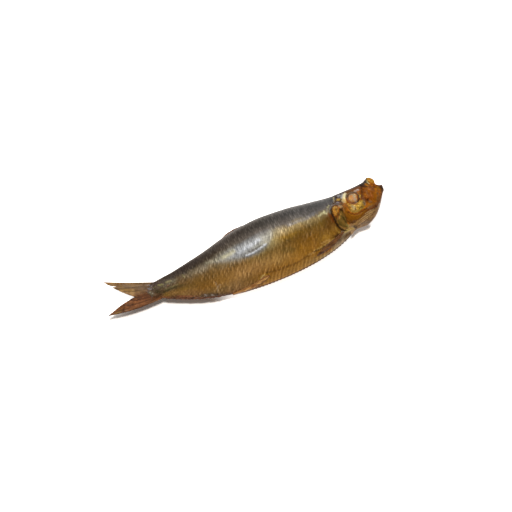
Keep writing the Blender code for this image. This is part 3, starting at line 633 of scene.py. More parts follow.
stations, outer_rings = skin_stations()
ring_count = len(stations)
rings = [skin_ring(distance, scale) for distance, scale in stations]
skin_points, skin_shares, skin_heights = (np.concatenate(parts) for parts in zip(*rings))
skin_x, skin_y = skin_points[:, 0], skin_points[:, 1]
skin_rows = []
for ring, _, _ in rings:
    steps = np.linalg.norm(np.diff(ring, axis=0), axis=1)[: RING_POINTS // 2]
    girth = np.concatenate(([0.0], np.cumsum(steps))) / steps.sum()
    skin_rows.append(SCALE_ROWS * np.concatenate((girth, girth[-2:0:-1])))
skin_rows = np.concatenate(skin_rows)
skin_columns = (skin_x - np.interp(skin_y, COLUMN_LEAN_Y, COLUMN_LEAN_X)) / SCALE_LENGTH
folded = belly_folds(skin_x, skin_y)
mark_height, mark_colour, mark_cover = skin_marks(skin_x, skin_y)
relief = cover_relief(skin_x, skin_y) + socket_relief(skin_x, skin_y) + mark_height
relief += RIPPLE_HEIGHT * folded * np.sin(2 * math.pi * skin_columns)
skin_points[:, 2] = np.maximum(skin_points[:, 2] + skin_shares * relief, 0.0)
skin_z = skin_points[:, 2]
skin_faces = []
for i in range(ring_count - 1):
    for k in range(RING_POINTS):
        here = i * RING_POINTS
        after = (k + 1) % RING_POINTS
        skin_faces.append((here + k, here + after, here + RING_POINTS + after, here + RING_POINTS + k))
skin_faces.append(tuple(range(RING_POINTS)))
skin_faces.append(tuple(range((ring_count - 1) * RING_POINTS, ring_count * RING_POINTS))[::-1])

skin_mesh = bpy.data.meshes.new("body_skin")
skin_mesh.from_pydata(skin_points * MM, [], skin_faces)
skin_mesh.validate()


def set_attribute(mesh, name, values):
    """Keeps one number, or three, for each point of a mesh under a name."""
    values = np.asarray(values, dtype=np.float32)
    kind, field = ("FLOAT", "value") if values.ndim == 1 else ("FLOAT_VECTOR", "vector")
    kept = mesh.attributes.get(name) or mesh.attributes.new(name, kind, "POINT")
    kept.data.foreach_set(field, values.ravel())


# Where the dark back ends on the head, as x and y along the fish
COLOUR_LINE_X = (79, 86, 92, 100, 112, 124, 132, 143)
COLOUR_LINE_Y = (11.8, 14.5, 18, 20.8, 21.7, 19.9, 21.6, 25)
BARE_HEAD_X = (94.5, 96.0)  # scales end between these on the nape
SCALY_TAIL_X = (-98.0, -90.0)  # and begin between these at the tail
SHOULDER_CENTRE = (76.0, -15.5)  # wrinkled skin below the gill cover
SHOULDER_RADII = (11.0, 4.0)

bare = smooth_step(skin_x, *BARE_HEAD_X)
bare = np.maximum(bare, 1 - smooth_step(cover_share(skin_x, skin_y), 0.99, 1.05))
set_attribute(skin_mesh, "scale_column", skin_columns)
set_attribute(skin_mesh, "scale_row", skin_rows)
scaly = (1 - bare) * smooth_step(skin_z, 0.05, 1.5) * smooth_step(skin_x, *SCALY_TAIL_X)
set_attribute(skin_mesh, "scaly", scaly)
wrinkled = smooth_step(-skin_x, 52.0, 78.0) * (1 - smooth_step(skin_y, 9.0, 13.0))
shoulder_x = (skin_x - SHOULDER_CENTRE[0]) / SHOULDER_RADII[0]
shoulder_y = (skin_y - SHOULDER_CENTRE[1]) / SHOULDER_RADII[1]
shoulder = np.exp(-(shoulder_x**2) - shoulder_y**2)
set_attribute(skin_mesh, "wrinkled", np.maximum(wrinkled, 0.8 * shoulder))
set_attribute(skin_mesh, "belly_folds", folded)
set_attribute(skin_mesh, "above_line", skin_y - np.interp(skin_x, COLOUR_LINE_X, COLOUR_LINE_Y))


def smooth_curve(corners, closed=True, steps=12):
    """A smooth curve through the corners, each of two or more numbers."""
    corners = [np.array(corner, dtype=float) for corner in corners]
    count = len(corners)
    points = []
    for i in range(count if closed else count - 1):
        if closed:
            a, b, c, d = (corners[(i + k - 1) % count] for k in range(4))
        else:
            a, b, c, d = (corners[min(max(i + k - 1, 0), count - 1)] for k in range(4))
        for k in range(steps):
            t = k / steps
            curve = 2 * b + (c - a) * t + (2 * a - 5 * b + 4 * c - d) * t**2
            points.append(tuple((curve + (3 * b - 3 * c + d - a) * t**3) / 2))
    if not closed:
        points.append(tuple(corners[-1]))
    return points


def inside_distance(x, y, outline):
    """Distance of points from a closed outline, positive inside it."""
    closed = outline + outline[:1]
    inside = np.zeros(np.shape(x), dtype=bool)
    for (x0, y0), (x1, y1) in zip(closed, closed[1:]):
        if y0 != y1:
            crossed = (y0 > y) != (y1 > y)
            inside ^= crossed & (x < x0 + (y - y0) * (x1 - x0) / (y1 - y0))
    return np.where(inside, 1.0, -1.0) * line_distance(x, y, closed)


# Patch where the scales kept their silver, bounded sharply towards the head. Its grey-white colour is partly
# the silver and partly a painted highlight of the back softbox.
SILVER_PATCH = (
    (27.2, 12.0), (24.8, 14.4), (12.5, 14.8), (-1.5, 12.6), (-15.0, 10.8), (-28.0, 9.2), (-44.0, 8.0),
    (-46.0, 5.6), (-32.0, 3.8), (-19.0, 1.2), (-5.5, -2.2), (8.5, -3.6), (18.3, -0.4), (24.8, 6.0),
)
silver_distance = inside_distance(skin_x, skin_y, smooth_curve(SILVER_PATCH))
silver_softness = np.interp(skin_x, (-50.0, -15.0, 10.0, 28.0), (4.0, 3.0, 1.8, 1.8))
silver = smooth_step(silver_distance, -silver_softness, silver_softness)
SILVER_X = (-50, -35, -22, -12, -2, 8, 16, 28)
SILVER_LEFT = (0.05, 0.25, 0.8, 1.0, 0.88, 0.7, 0.55, 0.55)  # how much of the silver still shows
silver *= np.interp(skin_x, SILVER_X, SILVER_LEFT)
set_attribute(skin_mesh, "silver", silver)
# How strongly the painted highlight along the scales' rear edges and the painted shade before the next scale
# show: most along the dark back's border, and hardly near the gill cover
sheen_border = np.exp(-(((skin_y - 9.0) / 3.2) ** 2)) * np.interp(skin_x, (24, 32, 58, 70), (0, 1, 1, 0))
painted_sheen = scaly * np.interp(skin_x, (-75, -40, 56, 84), (0.6, 1.0, 1.0, 0.35)) * (1 - 0.1 * silver)
painted_sheen *= np.interp(skin_y, (8.0, 16.0), (1.0, 0.65))
set_attribute(skin_mesh, "painted_sheen", painted_sheen + 0.7 * scaly * sheen_border)

# The skin's colour: bands whose borders follow single scales, then marks, then the dark keel. Bands and
# marks hold painted sheen and painted shade besides the skin's own colour, and the keel's darkening is
# painted shade on the underside.
picks = top_scale(skin_columns, skin_rows)
ragged_y = skin_y + 1.7 * (picks[:, 0] - 0.5) * scaly
smoke = band_colours(skin_x, ragged_y) * (1 + 0.22 * scaly * (picks[:, 1] - 0.5))[:, None]
brightness = smoke @ np.array((0.25, 0.60, 0.15))
# Painted highlight as well as silver: within the patch the colour turns grey-white
smoke += (brightness[:, None] * np.array((0.99, 1.0, 1.02)) - smoke) * (0.85 * silver)[:, None]
smoke += mark_colour - smoke * mark_cover[:, None]
# Painted shade on the underside beyond the keel: the skin darkens to the keel's colour there
keel = smooth_step(-skin_heights, 0.962, 0.99) * (1 - smooth_step(skin_x, 96.0, 104.0))
smoke += (LIT_GAIN * np.array(linear(KEEL_SHADE_COLOUR)[:3]) - smoke) * (0.85 * keel)[:, None]
set_attribute(skin_mesh, "smoke", smoke)
set_attribute(skin_mesh, "stain_and_painted_light", mark_colour)
set_attribute(skin_mesh, "stain_and_painted_light_share", mark_cover)

# Painted shade in the slit behind the gill cover: a dark band along it
SLIT_SHADE_SHARE = 1.03  # where the dark seam runs, in shares of the gill cover's radius
SLIT_SHADE_WIDTH = 0.7

slit_away = np.abs(cover_share(skin_x, skin_y) - SLIT_SHADE_SHARE) * COVER_RADII[0]
slit_reach = smooth_step(skin_y, -15.5, -12.5) * (1 - smooth_step(skin_y, 10.0, 14.0))
slit_reach *= 1 - smooth_step(skin_x, 90.0, 95.0)
slit_shade = 0.6 * np.exp(-((slit_away / SLIT_SHADE_WIDTH) ** 2)) * slit_reach


def scale_sets(tree, column, row):
    """The two interlaced sets of scales: place behind the rear edge, square of the way off row, number."""
    found = []
    for row_shift, column_shift in ((0.0, 0.0), (1.0, 0.5)):
        shifted = add(tree, "Math", row, row_shift, operation="ADD")
        off = add(tree, "Math", shifted, 1.0, operation="PINGPONG")
        square = add(tree, "Math", off, off, operation="MULTIPLY")
        arch = add(tree, "Math", square, -SCALE_ARCH, 1.0, operation="MULTIPLY_ADD")
        bow = add(tree, "Math", arch, operation="SQRT")
        moved = add(tree, "Math", bow, SCALE_OVERLAP, column, operation="MULTIPLY_ADD")
        moved = add(tree, "Math", moved, column_shift, operation="ADD")
        behind = add(tree, "Math", moved, operation="FRACT")
        place = add(tree, "Math", moved, operation="FLOOR")
        pair = add(tree, "Math", shifted, 2.0, operation="DIVIDE")
        pair = add(tree, "Math", pair, operation="ROUND")
        found.append((behind, square, add(tree, "CombineXYZ", place, pair, column_shift)))
    return found


def scale_height(tree, column, row):
    """Height of the scale on top, from 0 at its covered front to 1 at its rear edge."""
    heights = []
    for behind, square, _ in scale_sets(tree, column, row):
        height = add(tree, "Math", 1.0, behind, operation="SUBTRACT")
        crown = add(tree, "Math", square, -0.62, 1.0, operation="MULTIPLY_ADD")
        heights.append(add(tree, "Math", height, crown, operation="MULTIPLY"))
    return add(tree, "Math", heights[0], heights[1], operation="MAXIMUM")


def painted_scale_sheen(tree, column, row):
    """Painted highlight along the rear edge of each scale and painted shade before the next one, on some
    scales only.
    """
    total = 0.0
    for behind, square, cell in scale_sets(tree, column, row):
        light = add(tree, "MapRange", behind, 0.0, 0.8, 0.70, -0.42)
        crown = add(tree, "Math", square, -0.85, 1.0, operation="MULTIPLY_ADD")
        light = add(tree, "Math", light, crown, operation="MULTIPLY")
        pick = add(tree, "TexWhiteNoise", cell, out="Value", noise_dimensions="3D")
        pick = add(tree, "MapRange", pick, 0.1, 1.0, 0.15, 1.15)
        total = add(tree, "Math", light, pick, total, operation="MULTIPLY_ADD")
    return total


def new_geometry_tree(name, **sizes):
    """A geometry node tree with a mesh input, the named number inputs and a material input."""
    tree = bpy.data.node_groups.new(name, "GeometryNodeTree")
    tree.interface.new_socket("Mesh", in_out="INPUT", socket_type="NodeSocketGeometry")
    tree.interface.new_socket("Mesh", in_out="OUTPUT", socket_type="NodeSocketGeometry")
    for size in sizes:
        tree.interface.new_socket(size, in_out="INPUT", socket_type="NodeSocketFloat")
    tree.interface.new_socket("Material", in_out="INPUT", socket_type="NodeSocketMaterial")
    return tree, tree.nodes.new("NodeGroupInput").outputs, tree.nodes.new("NodeGroupOutput").inputs


def placed(name, data):
    """A new object of the scene, made of a mesh, a lamp or a camera."""
    made = bpy.data.objects.new(name, data)
    bpy.context.scene.collection.objects.link(made)
    return made


def grow(source, tree, **values):
    """Runs a geometry node tree on an object once and keeps the result as its plain mesh."""
    modifier = source.modifiers.new(tree.name, "NODES")
    modifier.node_group = tree
    for item in tree.interface.items_tree:
        if item.in_out == "INPUT" and item.name in values:
            modifier[item.identifier] = values[item.name]
    shown = source.evaluated_get(bpy.context.evaluated_depsgraph_get())
    grown = bpy.data.meshes.new_from_object(shown)
    source.modifiers.remove(modifier)
    source.data = grown
    return source


relief_tree, sizes, result = new_geometry_tree("scale_relief", Relief=1, Sag=1, Sag_Size=1, Wrinkle=1)
column, row, scaly, wrinkled = (
    add(relief_tree, "GeometryNodeInputNamedAttribute", name, data_type="FLOAT")
    for name in ("scale_column", "scale_row", "scaly", "wrinkled")
)
height = scale_height(relief_tree, column, row)
height = add(relief_tree, "Math", height, 0.5, operation="SUBTRACT")
height = add(relief_tree, "Math", height, sizes["Relief"], operation="MULTIPLY")
fineness = add(relief_tree, "Math", 1.0, sizes["Sag_Size"], operation="DIVIDE")
sag = add(relief_tree, "TexNoise", fill={"Scale": fineness, "Detail": 2.0})
sag = add(relief_tree, "Math", sag, 0.5, operation="SUBTRACT")
sag = add(relief_tree, "Math", sag, sizes["Sag"], operation="MULTIPLY")
place = add(relief_tree, "GeometryNodeInputPosition")
drawn = add(relief_tree, "VectorMath", place, (0.13, 1.0, 1.0), operation="MULTIPLY")
folds = add(relief_tree, "TexNoise", drawn, fill={"Scale": 1 / (4.2 * MM), "Detail": 2.0})
folds = add(relief_tree, "Math", folds, 0.5, operation="SUBTRACT")
folds = add(relief_tree, "Math", folds, wrinkled, operation="MULTIPLY")
folds = add(relief_tree, "Math", folds, sizes["Wrinkle"], sag, operation="MULTIPLY_ADD")
lift = add(relief_tree, "Math", height, folds, operation="ADD")
lift = add(relief_tree, "Math", lift, scaly, operation="MULTIPLY")
normal = add(relief_tree, "GeometryNodeInputNormal")
offset = add(relief_tree, "VectorMath", normal, fill={"Scale": lift}, operation="SCALE")
shaped = add(relief_tree, "GeometryNodeSetPosition", sizes["Mesh"], fill={"Offset": offset})
shaped = add(relief_tree, "GeometryNodeRealizeInstances", shaped)
shaped = add(relief_tree, "GeometryNodeSetMaterial", shaped, fill={"Material": sizes["Material"]})
relief_tree.links.new(shaped, result["Mesh"])


def marks_laid_over(tree, colour):
    """The colour with the skin's marks laid over it, painted highlights and shade among them."""
    stain_and_painted_light = add(tree, "Attribute", out="Vector", attribute_name="stain_and_painted_light")
    left = add(tree, "Attribute", out="Fac", attribute_name="stain_and_painted_light_share")
    left = add(tree, "Math", 1.0, left, operation="SUBTRACT")
    colour = add(tree, "VectorMath", colour, fill={"Scale": left}, operation="SCALE")
    return add(tree, "VectorMath", colour, stain_and_painted_light, operation="ADD")


# Cold-smoked herring skin under its scales: thin clear plates over silver, tanned gold by smoke and wet with
# oil, so it shines softly. The pale line of light along each scale's rear edge and the shade before the next
# scale are painted.
trunk_skin, tree, shader = new_material("smoked_scaled_skin", Specular_IOR_Level=0.15, IOR=1.45)
place = add(tree, "TexCoord", out="Object")
colour = add(tree, "Attribute", out="Vector", attribute_name="smoke")
column, row, silver_share, sheen_share, folds, slit_shade_share = (
    add(tree, "Attribute", out="Fac", attribute_name=name)
    for name in ("scale_column", "scale_row", "silver", "painted_sheen", "belly_folds", "slit_shade")
)
mottle = add(tree, "TexNoise", place, fill={"Scale": 1 / (9.0 * MM), "Detail": 3.0})
fine = add(tree, "TexNoise", place, fill={"Scale": 1 / (1.9 * MM), "Detail": 4.0})
shift = add(tree, "TexNoise", place, fill={"Scale": 1 / (6.0 * MM), "Detail": 1.0})
shift = add(tree, "Math", shift, 0.5, column, operation="MULTIPLY_ADD")
bend = add(tree, "TexNoise", place, fill={"Scale": 1 / (9.0 * MM), "Detail": 1.0})
bend = add(tree, "Math", bend, 0.5, row, operation="MULTIPLY_ADD")
sheen_strokes = painted_scale_sheen(tree, shift, bend)
sheen_patches = add(tree, "MapRange", mottle, 0.36, 0.64, 0.35, 1.2)
shown = add(tree, "Math", sheen_patches, sheen_share, operation="MULTIPLY")
plain = add(tree, "Math", folds, -0.7, 1.0, operation="MULTIPLY_ADD")
shown = add(tree, "Math", shown, plain, operation="MULTIPLY")
edge = add(tree, "Math", sheen_strokes, shown, operation="MULTIPLY")
# Painted light and shade across the belly folds: lighter towards each fold's crest, darker in its valley
wave = add(tree, "Math", column, 2 * math.pi, operation="MULTIPLY")
wave = add(tree, "Math", wave, operation="SINE")
wave = add(tree, "MapRange", wave, -0.5, 1.0, -0.13, 0.22)
edge = add(tree, "Math", wave, folds, edge, operation="MULTIPLY_ADD")
speck = add(tree, "MapRange", fine, 0.3, 0.7, 0.80, 1.20)
gain = add(tree, "Math", edge, 1.0, operation="ADD")
gain = add(tree, "Math", gain, speck, operation="MULTIPLY")
colour = add(tree, "VectorMath", colour, fill={"Scale": gain}, operation="SCALE")
# Painted highlight: a pale tint added where the scale strokes and the fold crests are light
pale = add(tree, "Math", edge, 0.0, operation="MAXIMUM")
pale = add(tree, "Math", pale, 0.055, operation="MULTIPLY")
colour = add(tree, "VectorMath", (1.0, 0.95, 0.86), pale, colour, operation="MULTIPLY_ADD")
# Painted shade in the slit behind the gill cover
colour = add(tree, "Mix", slit_shade_share, out=2, data_type="RGBA", fill={6: colour, 7: linear("#24140a")})
tree.links.new(colour, shader.inputs["Base Color"])
metallic = add(tree, "Math", silver_share, 0.2, 0.42, operation="MULTIPLY_ADD")
tree.links.new(metallic, shader.inputs["Metallic"])
roughness = add(tree, "MapRange", mottle, 0.3, 0.7, 0.34, 0.48)
tree.links.new(roughness, shader.inputs["Roughness"])
bump = add(tree, "Bump", fill={"Height": sheen_strokes, "Distance": 0.06 * MM, "Strength": 0.6})
bump = add(tree, "Bump", fill={"Height": fine, "Distance": 0.06 * MM, "Normal": bump})
tree.links.new(bump, shader.inputs["Normal"])

# Bare head skin, smoked orange-brown and shrunk on the bone: smooth, oily and finely wrinkled.
head_skin, tree, shader = new_material("smoked_head_skin", Specular_IOR_Level=0.15, IOR=1.45)
place = add(tree, "TexCoord", out="Object")
above, slit_shade_share, throat_share, temple_share = (
    add(tree, "Attribute", out="Fac", attribute_name=name)
    for name in ("above_line", "slit_shade", "throat", "temple")
)
mottle = add(tree, "TexNoise", place, fill={"Scale": 1 / (6.0 * MM), "Detail": 3.0})
fine = add(tree, "TexNoise", place, fill={"Scale": 1 / (1.1 * MM), "Detail": 4.0})
share = add(tree, "MapRange", mottle, 0.35, 0.65)
colour = add(tree, "Mix", share, out=2, data_type="RGBA",
             fill={6: linear("#6e3a08"), 7: linear("#96560f")})
share = add(tree, "MapRange", mottle, 0.35, 0.68)
throat = add(tree, "Mix", share, out=2, data_type="RGBA",
             fill={6: linear("#64442a"), 7: linear("#997549")})
colour = add(tree, "Mix", throat_share, out=2, data_type="RGBA", fill={6: colour, 7: throat})
colour = add(tree, "Mix", temple_share, out=2, data_type="RGBA",
             fill={6: colour, 7: linear("#43301f")})
ragged = add(tree, "Math", mottle, 5.0, -2.5, operation="MULTIPLY_ADD")
ragged = add(tree, "Math", ragged, above, operation="ADD")
share = add(tree, "MapRange", ragged, -1.0, 1.2, interpolation_type="SMOOTHSTEP")
colour = add(tree, "Mix", share, out=2, data_type="RGBA", fill={6: colour, 7: linear("#33281f")})
# Painted shade in the slit behind the gill cover
colour = add(tree, "Mix", slit_shade_share, out=2, data_type="RGBA", fill={6: colour, 7: linear("#24140a")})
speck = add(tree, "TexNoise", place, fill={"Scale": 1 / (2.4 * MM), "Detail": 4.0, "Roughness": 0.6})
speck = add(tree, "MapRange", speck, 0.3, 0.7, 0.68, 1.15)
colour = add(tree, "VectorMath", marks_laid_over(tree, colour), fill={"Scale": speck}, operation="SCALE")
tree.links.new(colour, shader.inputs["Base Color"])
roughness = add(tree, "MapRange", mottle, 0.3, 0.7, 0.28, 0.42)
tree.links.new(roughness, shader.inputs["Roughness"])
bump = add(tree, "Bump", fill={"Height": fine, "Distance": 0.12 * MM})
tree.links.new(bump, shader.inputs["Normal"])

# Mouth lining, dried dark and tough.
mouth_lining, tree, shader = new_material("dried_mouth_lining", Roughness=0.55)
place = add(tree, "TexCoord", out="Object")
mottle = add(tree, "TexNoise", place, fill={"Scale": 1 / (3.0 * MM), "Detail": 3.0})
colour = add(tree, "Mix", mottle, out=2, data_type="RGBA",
             fill={6: linear("#2a160a"), 7: linear("#6b3c14")})
tree.links.new(colour, shader.inputs["Base Color"])
bump = add(tree, "Bump", fill={"Height": mottle, "Distance": 0.3 * MM})
tree.links.new(bump, shader.inputs["Normal"])

THROAT = (
    (95.0, -10.5), (104.0, -6.5), (113.5, -4.0), (120.0, -1.0), (128.0, 1.0), (134.0, -1.0), (128.0, -12.0),
    (112.0, -16.0), (98.0, -20.0), (90.0, -22.0), (91.0, -14.0),
)
TEMPLE = (
    (84.0, 9.0), (85.5, 13.0), (89.0, 16.5), (93.5, 19.5), (97.5, 22.5), (104.0, 23.0), (106.5, 20.5),
    (103.0, 16.5), (101.5, 13.0), (100.0, 10.4), (97.0, 8.9), (93.6, 10.2), (89.5, 11.6), (86.5, 10.0),
)
throat = smooth_step(inside_distance(skin_x, skin_y, smooth_curve(THROAT)), -0.8, 0.8)
temple = smooth_step(inside_distance(skin_x, skin_y, smooth_curve(TEMPLE)), -1.0, 1.2)
set_attribute(skin_mesh, "throat", throat)
set_attribute(skin_mesh, "temple", temple)
set_attribute(skin_mesh, "slit_shade", slit_shade)

body_skin = placed("body_skin", skin_mesh)
SAG_DEPTH = 0.9  # of broad soft dents in the dried flesh
SAG_SIZE = 22.0
grow(body_skin, relief_tree, Relief=SCALE_RELIEF * MM, Sag=SAG_DEPTH * MM, Sag_Size=SAG_SIZE * MM,
     Wrinkle=4.0 * WRINKLE_DEPTH * MM, Material=trunk_skin)
body_skin.data.materials.append(head_skin)
body_skin.data.materials.append(mouth_lining)
face_zones = np.repeat(np.zeros(1, dtype=np.int32), len(body_skin.data.polygons))
bare_faces = bare.reshape(ring_count, RING_POINTS)[:-1].ravel() > 0.5
bare_faces &= skin_x.reshape(ring_count, RING_POINTS)[:-1].ravel() > 0.0
face_zones[: len(bare_faces)][bare_faces] = 1
face_zones[(outer_rings + LIP_RINGS - 2) * RING_POINTS :] = 2
body_skin.data.polygons.foreach_set("material_index", face_zones)
body_skin.data.shade_smooth()
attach(body_skin, "root")
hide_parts("smoked_fish")

# ---------------------------------------------------------------------------------------------
# Plates of the head: thin bones of the gill cover, cheek and jaws, each under dried skin, lapped
# over its neighbour. They are closed shells that follow the head and sink in at their rims.
# Both sides of the head have the same ones.
# ---------------------------------------------------------------------------------------------

skin_lookup = BVHTree.FromPolygons(
    [point.co / MM for point in body_skin.data.vertices],
    [tuple(face.vertices) for face in body_skin.data.polygons],
)
BAND_TOP_POINTS = 11
BAND_FLOOR_POINTS = 4
BURIED = 0.5  # depth of a plate's hidden face below its rim


def on_skin(x, y, side):
    """The skin over a place of the fish's plane, on the right (1) or left (-1), and its normal."""
    start = Vector((x, y, MIDPLANE_HEIGHT + side * 60.0))
    place, normal, _, _ = skin_lookup.ray_cast(start, Vector((0.0, 0.0, -side)))
    if place is None:
        place, normal, _, _ = skin_lookup.find_nearest(Vector((x, y, MIDPLANE_HEIGHT)))
    return place, normal


def new_shell():
    return {"points": [], "faces": [], "rim": [], "run": []}


def join_loops(shell, loops, closed_along=False, capped=False):
    """Faces between loops of points that are already in the shell, and over its ends if capped."""
    pairs = list(zip(loops, loops[1:]))
    if closed_along:
        pairs.append((loops[-1], loops[0]))
    for here, there in pairs:
        for k in range(len(here)):
            shell["faces"].append((here[k - 1], here[k], there[k], there[k - 1]))
    if capped:
        shell["faces"] += [tuple(loops[0]), tuple(loops[-1][::-1])]


def lay_point(shell, place, rim, run):
    """Adds one point to a shell and hands back its number."""
    shell["points"].append(place)
    shell["rim"].append(rim)
    shell["run"].append(run)
    return len(shell["points"]) - 1


def lay_plate(shell, outline, side, rise, sink=0.3, fullness=5.0, rings=12, crinkle=0.0, crease_size=2.0):
    """Adds a plate within an outline: nearly flat if `fullness` is high and domed if it is 2."""
    loop = smooth_curve(outline)
    middle_x = sum(x for x, _ in loop) / len(loop)
    middle_y = sum(y for _, y in loop) / len(loop)

    def place(x, y, share, lift):
        found, normal = on_skin(middle_x + (x - middle_x) * share, middle_y + (y - middle_y) * share, side)
        wave = noise.noise(found / crease_size) + 0.6 * noise.noise(found * 2.3 / crease_size)
        return found + normal * (lift + crinkle * wave * (1 - share**4))

    top = lay_point(shell, place(middle_x, middle_y, 0.0, rise), 0.0, 0.0)
    loops = []
    for ring in range(1, rings + 1):
        share = ring / rings
        lift = rise - (rise + sink) * share**fullness
        loops.append([
            lay_point(shell, place(x, y, share, lift), share, k / len(loop))
            for k, (x, y) in enumerate(loop)
        ])
    loops.append([
        lay_point(shell, place(x, y, 0.9, -sink - BURIED), 1.0, k / len(loop))
        for k, (x, y) in enumerate(loop)
    ])
    floor_point = lay_point(shell, place(middle_x, middle_y, 0.0, -sink - BURIED), 1.0, 0.0)
    join_loops(shell, loops)
    for k in range(len(loop)):
        shell["faces"].append((top, loops[0][k - 1], loops[0][k]))
        shell["faces"].append((floor_point, loops[-1][k], loops[-1][k - 1]))


def lay_band(shell, path, side, rise, sink=0.25, closed=False, steps=10, crinkle=0.0, crease_size=2.0):
    """Adds a slim strip along a path whose points are x, y and half width."""
    line = smooth_curve(path, closed, steps)
    loops = []
    for i, (x, y, half_width) in enumerate(line):
        before = line[i - 1] if i or closed else line[0]
        after = line[(i + 1) % len(line)] if i + 1 < len(line) or closed else line[-1]
        step_x, step_y = after[0] - before[0], after[1] - before[1]
        length = math.hypot(step_x, step_y)
        loop = []
        for k in range(BAND_TOP_POINTS + BAND_FLOOR_POINTS):
            if k < BAND_TOP_POINTS:
                offset = 2 * k / (BAND_TOP_POINTS - 1) - 1
                lift = (rise + sink) * (1 - abs(offset) ** 2.5) ** 0.7 - sink
            else:
                offset = 0.8 - 1.6 * (k - BAND_TOP_POINTS) / (BAND_FLOOR_POINTS - 1)
                lift = -sink - BURIED
            spot_x = x - step_y / length * offset * half_width
            spot_y = y + step_x / length * offset * half_width
            found, normal = on_skin(spot_x, spot_y, side)
            wave = noise.noise(found / crease_size) * (1 - abs(offset) ** 3)
            loop.append(
                lay_point(shell, found + normal * (lift + crinkle * wave), abs(offset), i / len(line))
            )
        loops.append(loop)
    join_loops(shell, loops, closed_along=closed, capped=not closed)


def lay_lobe(shell, centre, radii, turn, lumps, lump_size=2.0, rings=14, segments=28):
    """Adds a soft rounded lobe, turned by an angle in the fish's plane."""
    loops = []
    for ring in range(1, rings):
        polar = math.pi * ring / rings
        loop = []
        for k in range(segments):
            angle = 2 * math.pi * k / segments
            wide = math.sin(polar)
            way = Vector((wide * math.cos(angle), wide * math.sin(angle), math.cos(polar)))
            place = Vector((way.x * radii[0], way.y * radii[1], way.z * radii[2]))
            place.rotate(Matrix.Rotation(math.radians(turn), 3, "Z"))
            place += Vector(centre)
            place += way * lumps * noise.noise(place / lump_size)
            loop.append(lay_point(shell, place, ring / rings, k / segments))
        loops.append(loop)
    join_loops(shell, loops, capped=True)


def shell_object(name, shell, material, marked=True):
    """Makes an object of a shell, its faces turned outwards, with the skin's marks on it if wanted."""
    mesh = bpy.data.meshes.new(name)
    mesh.from_pydata([Vector(point) * MM for point in shell["points"]], [], shell["faces"])
    set_attribute(mesh, "rim", shell["rim"])
    set_attribute(mesh, "run", shell["run"])
    if marked:
        places = np.array([tuple(point) for point in shell["points"]])
        _, stain_and_painted_light, stain_and_painted_light_share = skin_marks(places[:, 0], places[:, 1])
        set_attribute(mesh, "stain_and_painted_light", stain_and_painted_light)
        set_attribute(mesh, "stain_and_painted_light_share", stain_and_painted_light_share)
    turned = bmesh.new()
    turned.from_mesh(mesh)
    bmesh.ops.recalc_face_normals(turned, faces=turned.faces)
    turned.to_mesh(mesh)
    turned.free()
    mesh.materials.append(material)
    mesh.shade_smooth()
    return placed(name, mesh)


def smoked_bone(name, dark, light, mottle_size, wrinkle=0.1, rim_dark=0.5, **sockets):
    """Thin bone under oiled skin: two tans run into each other, darker at the lapped rim.

    `mottle_size` and `wrinkle` are in millimetres.
    """
    made, tree, shader = new_material(name, IOR=1.45, Specular_IOR_Level=0.15, **sockets)
    place = add(tree, "TexCoord", out="Object")
    rim = add(tree, "Attribute", out="Fac", attribute_name="rim")
    mottle = add(tree, "TexNoise", place,
                 fill={"Scale": 1 / (mottle_size * MM), "Detail": 3.0, "Roughness": 0.6})
    share = add(tree, "MapRange", mottle, 0.36, 0.64)
    colour = add(tree, "Mix", share, out=2, data_type="RGBA",
                 fill={6: linear(dark), 7: linear(light)})
    shade = add(tree, "MapRange", rim, 0.72, 1.0, 1.0, rim_dark)
    colour = marks_laid_over(tree, colour)
    speck = add(tree, "TexNoise", place, fill={"Scale": 1 / (0.9 * MM), "Detail": 3.0})
    speck = add(tree, "MapRange", speck, 0.3, 0.7, 0.78, 1.12)
    shade = add(tree, "Math", shade, speck, operation="MULTIPLY")
    colour = add(tree, "VectorMath", colour, fill={"Scale": shade}, operation="SCALE")
    tree.links.new(colour, shader.inputs["Base Color"])
    bump = add(tree, "Bump", fill={"Height": mottle, "Distance": wrinkle * MM})
    tree.links.new(bump, shader.inputs["Normal"])
    return made


# Gill covers: an orange upper lobe, an olive-gold main plate and a pale gold strip below them
COVER_LOBE = (
    (87.2, 9.6), (88.5, 11.4), (90.8, 11.2), (93.2, 9.4), (93.0, 6.6), (90.9, 4.2), (88.8, 1.6), (86.9, 2.2),
    (86.2, 5.6),
)
COVER_PLATE = (
    (93.9, 8.2), (92.6, 4.2), (89.2, 0.4), (87.2, -2.9), (87.2, -7.8), (90.0, -11.2), (94.4, -12.1),
    (95.4, -8.5), (95.2, -4.5), (94.8, -0.2), (95.3, 4.3), (95.4, 7.2),
)
COVER_STRIP = (
    (87.6, -13.4, 0.3), (89.4, -14.2, 0.8), (91.8, -14.3, 1.0), (95.0, -13.8, 0.9), (99.0, -14.1, 0.4),
)
COVER_BEADS = (  # the lobe's swollen corners
    ((88.4, 10.6), (90.0, 11.0), (91.6, 10.3), (91.0, 9.0), (89.2, 9.2)),
    ((88.0, 5.6), (89.4, 6.2), (90.2, 4.6), (89.2, 3.0), (88.0, 3.6)),
)
cover_lobes, cover_plates, cover_strips = new_shell(), new_shell(), new_shell()
for side in (1, -1):
    lay_plate(cover_lobes, COVER_LOBE, side, 0.5, crinkle=0.25, crease_size=3.0)
    for bead in COVER_BEADS:
        lay_plate(cover_lobes, bead, side, 1.0, fullness=2.0, rings=6)
    lay_plate(cover_plates, COVER_PLATE, side, 0.55, crinkle=0.2, crease_size=4.0)
    lay_band(cover_strips, COVER_STRIP, side, 0.6, crinkle=0.3)
cover_lobe_pieces = shell_object("gill_cover_lobes", cover_lobes, smoked_bone(
    "smoked_gill_cover_lobe", "#7a4a12", "#b98636", 3.0, Metallic=0.2, Roughness=0.32))
